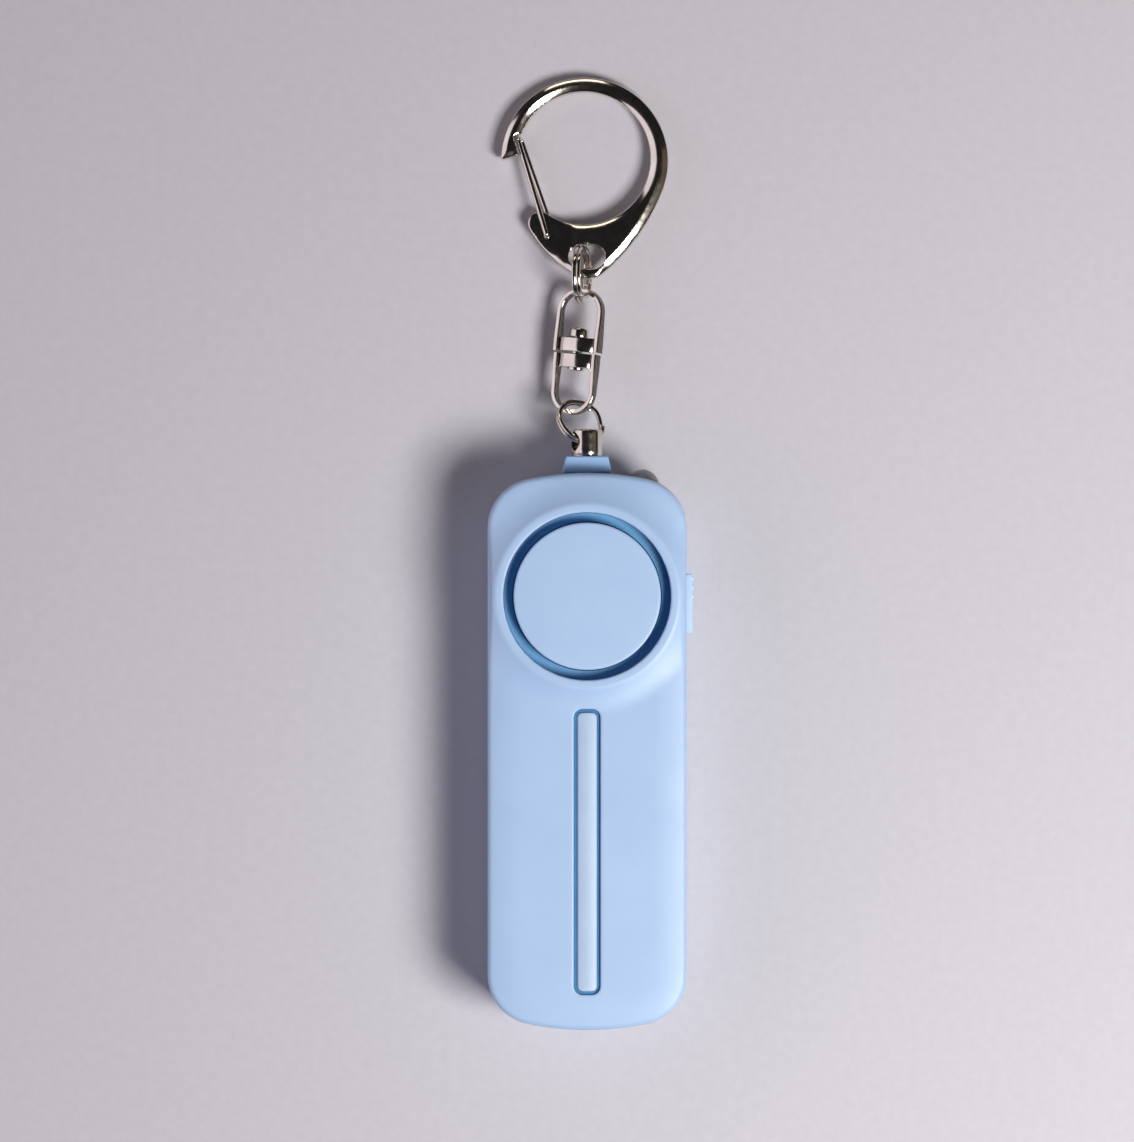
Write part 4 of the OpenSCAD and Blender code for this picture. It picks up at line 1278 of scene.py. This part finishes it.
def screw(x, y, head_r, head_h, shank_r, z0, z1):
    """Pan-head cross-recess screw, head down, with a cut thread."""
    p = [(0, z0), (head_r * 0.8, z0 + 0.02), (head_r * 0.95, z0 + 0.09), (head_r, z0 + 0.22), (head_r, z0 + head_h - 0.06), (head_r - 0.06, z0 + head_h), (shank_r * 0.86, z0 + head_h)]
    z = z0 + head_h + 0.35
    while z < z1 - 0.8:
        p += [(shank_r * 0.8, z), (shank_r * 0.98, z + 0.22), (shank_r * 0.98, z + 0.3), (shank_r * 0.8, z + 0.5)]
        z += 0.62
    p += [(shank_r * 0.7, z1 - 0.3), (shank_r * 0.4, z1), (0, z1)]
    m = lathe(p, 40, Matrix.Translation((x, y, 0)))
    w = head_r * 0.62
    m = combine(m, rbox((x - w, y - 0.18, z0 - 0.4), (x + w, y + 0.18, z0 + 0.42), 0.08, 2), "DIFFERENCE")
    return combine(m, rbox((x - 0.18, y - w, z0 - 0.4), (x + 0.18, y + w, z0 + 0.42), 0.08, 2), "DIFFERENCE")


make("battery_door_screw_pan", screw(0, -38.7, 1.25, 0.6, 0.78, 0.3, 5.35), "case", ["battery_door_screw"], STEEL, 35)
heads = Mesh()
for _x, _y in SCREWS:
    one = screw(_x, _y, 1.75, 0.85, 0.92, 0.35, 11.15)
    base = len(heads.v)
    heads.v += one.v
    heads.f += [tuple(i + base for i in f) for f in one.f]
make("case_screws_pan", heads, "case", ["case_screws"], STEEL, 35)

# ---------------------------------------------------------------- inner pieces keep their CAD shape

INNER = {
    "siren_holder": (CHIP, "chip_black"),
    "piezo_plate": (BRASS, "contact_brass"),
    "piezo_ceramic": (PIEZO, "piezo_white"),
    "piezo_leads": (WIRE_RED, "wire_red"),
    "light_bar_board": (BOARD_WHITE, "board_white"),
    "light_bar_leds": (BAR, "bar_frost"),
    "light_bar_leads": (WIRE_BLACK, "wire_black"),
    "torch_led_leads": (STEEL, "steel"),
    "main_board": (BOARD_GREEN, "board_green"),
    "board_screws": (STEEL, "steel"),
    "alarm_chip": (CHIP, "chip_black"),
    "driver_transistor": (CHIP, "chip_black"),
    "boost_transformer": (FERRITE, "ferrite"),
    "buffer_capacitor": (CAN, "can_dark"),
    "slide_switch_body": (STEEL, "steel"),
    "contact_block": (CHIP, "chip_black"),
    "contact_fixed": (BRASS, "contact_brass"),
    "contact_leaf": (BRASS, "contact_brass"),
    "battery_cells": (CELL, "cell_jacket"),
    "battery_springs": (STEEL, "steel"),
    "battery_contacts": (STEEL, "steel"),
    "battery_leads": (WIRE_RED, "wire_red"),
}
for name, (mat, slot_name) in INNER.items():
    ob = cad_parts[name]
    ob.data.materials.clear()
    ob.data.materials.append(mat)

# ---------------------------------------------------------------- floor, light, camera


def floor():
    me = bpy.data.meshes.new("floor")
    s = 1.6
    me.from_pydata([(-s, -s, 0), (s, -s, 0), (s, s, 0), (-s, s, 0)], [], [(0, 1, 2, 3)])
    ob = bpy.data.objects.new("floor", me)
    bpy.context.scene.collection.objects.link(ob)
    ob.location = (0, 0, CAD_LO[2] - 0.00002)
    mat, nt, b = material("floor_pale")
    nt.links.new(ramp(nt, noise(nt, 1.5, 4, 0.6), [(0.3, (0.56, 0.545, 0.60, 1)), (0.7, (0.59, 0.575, 0.63, 1))]), b.inputs["Base Color"])
    b.inputs["Roughness"].default_value = 0.85
    b.inputs["Specular IOR Level"].default_value = 0.2
    bump(nt, b, noise(nt, 0.5, 3, 0.6), 0.1, 0.05)
    me.materials.append(mat)


floor()


def area(name, at, size, power, colour=(1, 1, 1), look=(0, 0.025, 0.006)):
    d = bpy.data.lights.new(name, "AREA")
    d.shape = "RECTANGLE"
    d.size, d.size_y = size
    d.energy = power
    d.color = colour
    ob = bpy.data.objects.new(name, d)
    ob.location = at
    ob.rotation_mode = "QUATERNION"
    ob.rotation_quaternion = (Vector(look) - Vector(at)).to_track_quat("-Z", "Y")
    bpy.context.scene.collection.objects.link(ob)
    return ob


def toward(az, el, dist):
    return (dist * math.cos(rad(el)) * math.cos(rad(az)), 0.025 + dist * math.cos(rad(el)) * math.sin(rad(az)), dist * math.sin(rad(el)))


area("key", toward(-34, 52, 0.55), (0.21, 0.21), 3.42, (1.0, 0.985, 0.945))
area("left_card", toward(180, 25, 0.8), (1.2, 0.78), 2.9, (0.98, 0.902, 0.983))
area("right_card", toward(5, 32, 0.8), (0.45, 0.4), 0.06, (1.0, 0.8, 0.5))
area("top_end_card", toward(95, 22, 0.9), (0.5, 0.12), 0.5, (1.0, 0.88, 0.72))

world = bpy.data.worlds.new("studio")
bpy.context.scene.world = world
world.use_nodes = True
world.node_tree.nodes["Background"].inputs["Color"].default_value = (0.92, 0.92, 1.0, 1)
world.node_tree.nodes["Background"].inputs["Strength"].default_value = 0.015

cam = bpy.data.cameras.new("camera")
cam.sensor_fit = "VERTICAL"
cam.sensor_height = 36.0
cam.sensor_width = 36.0
DIST = 0.75
cam.lens = 36.0 * DIST / (1142 / 6.6 * MM)
cam_ob = bpy.data.objects.new("camera", cam)
cam_ob.location = (-3.03 * MM, 27.2 * MM, DIST + 0.010)
bpy.context.scene.collection.objects.link(cam_ob)
bpy.context.scene.camera = cam_ob
bpy.context.scene.view_settings.view_transform = "Standard"
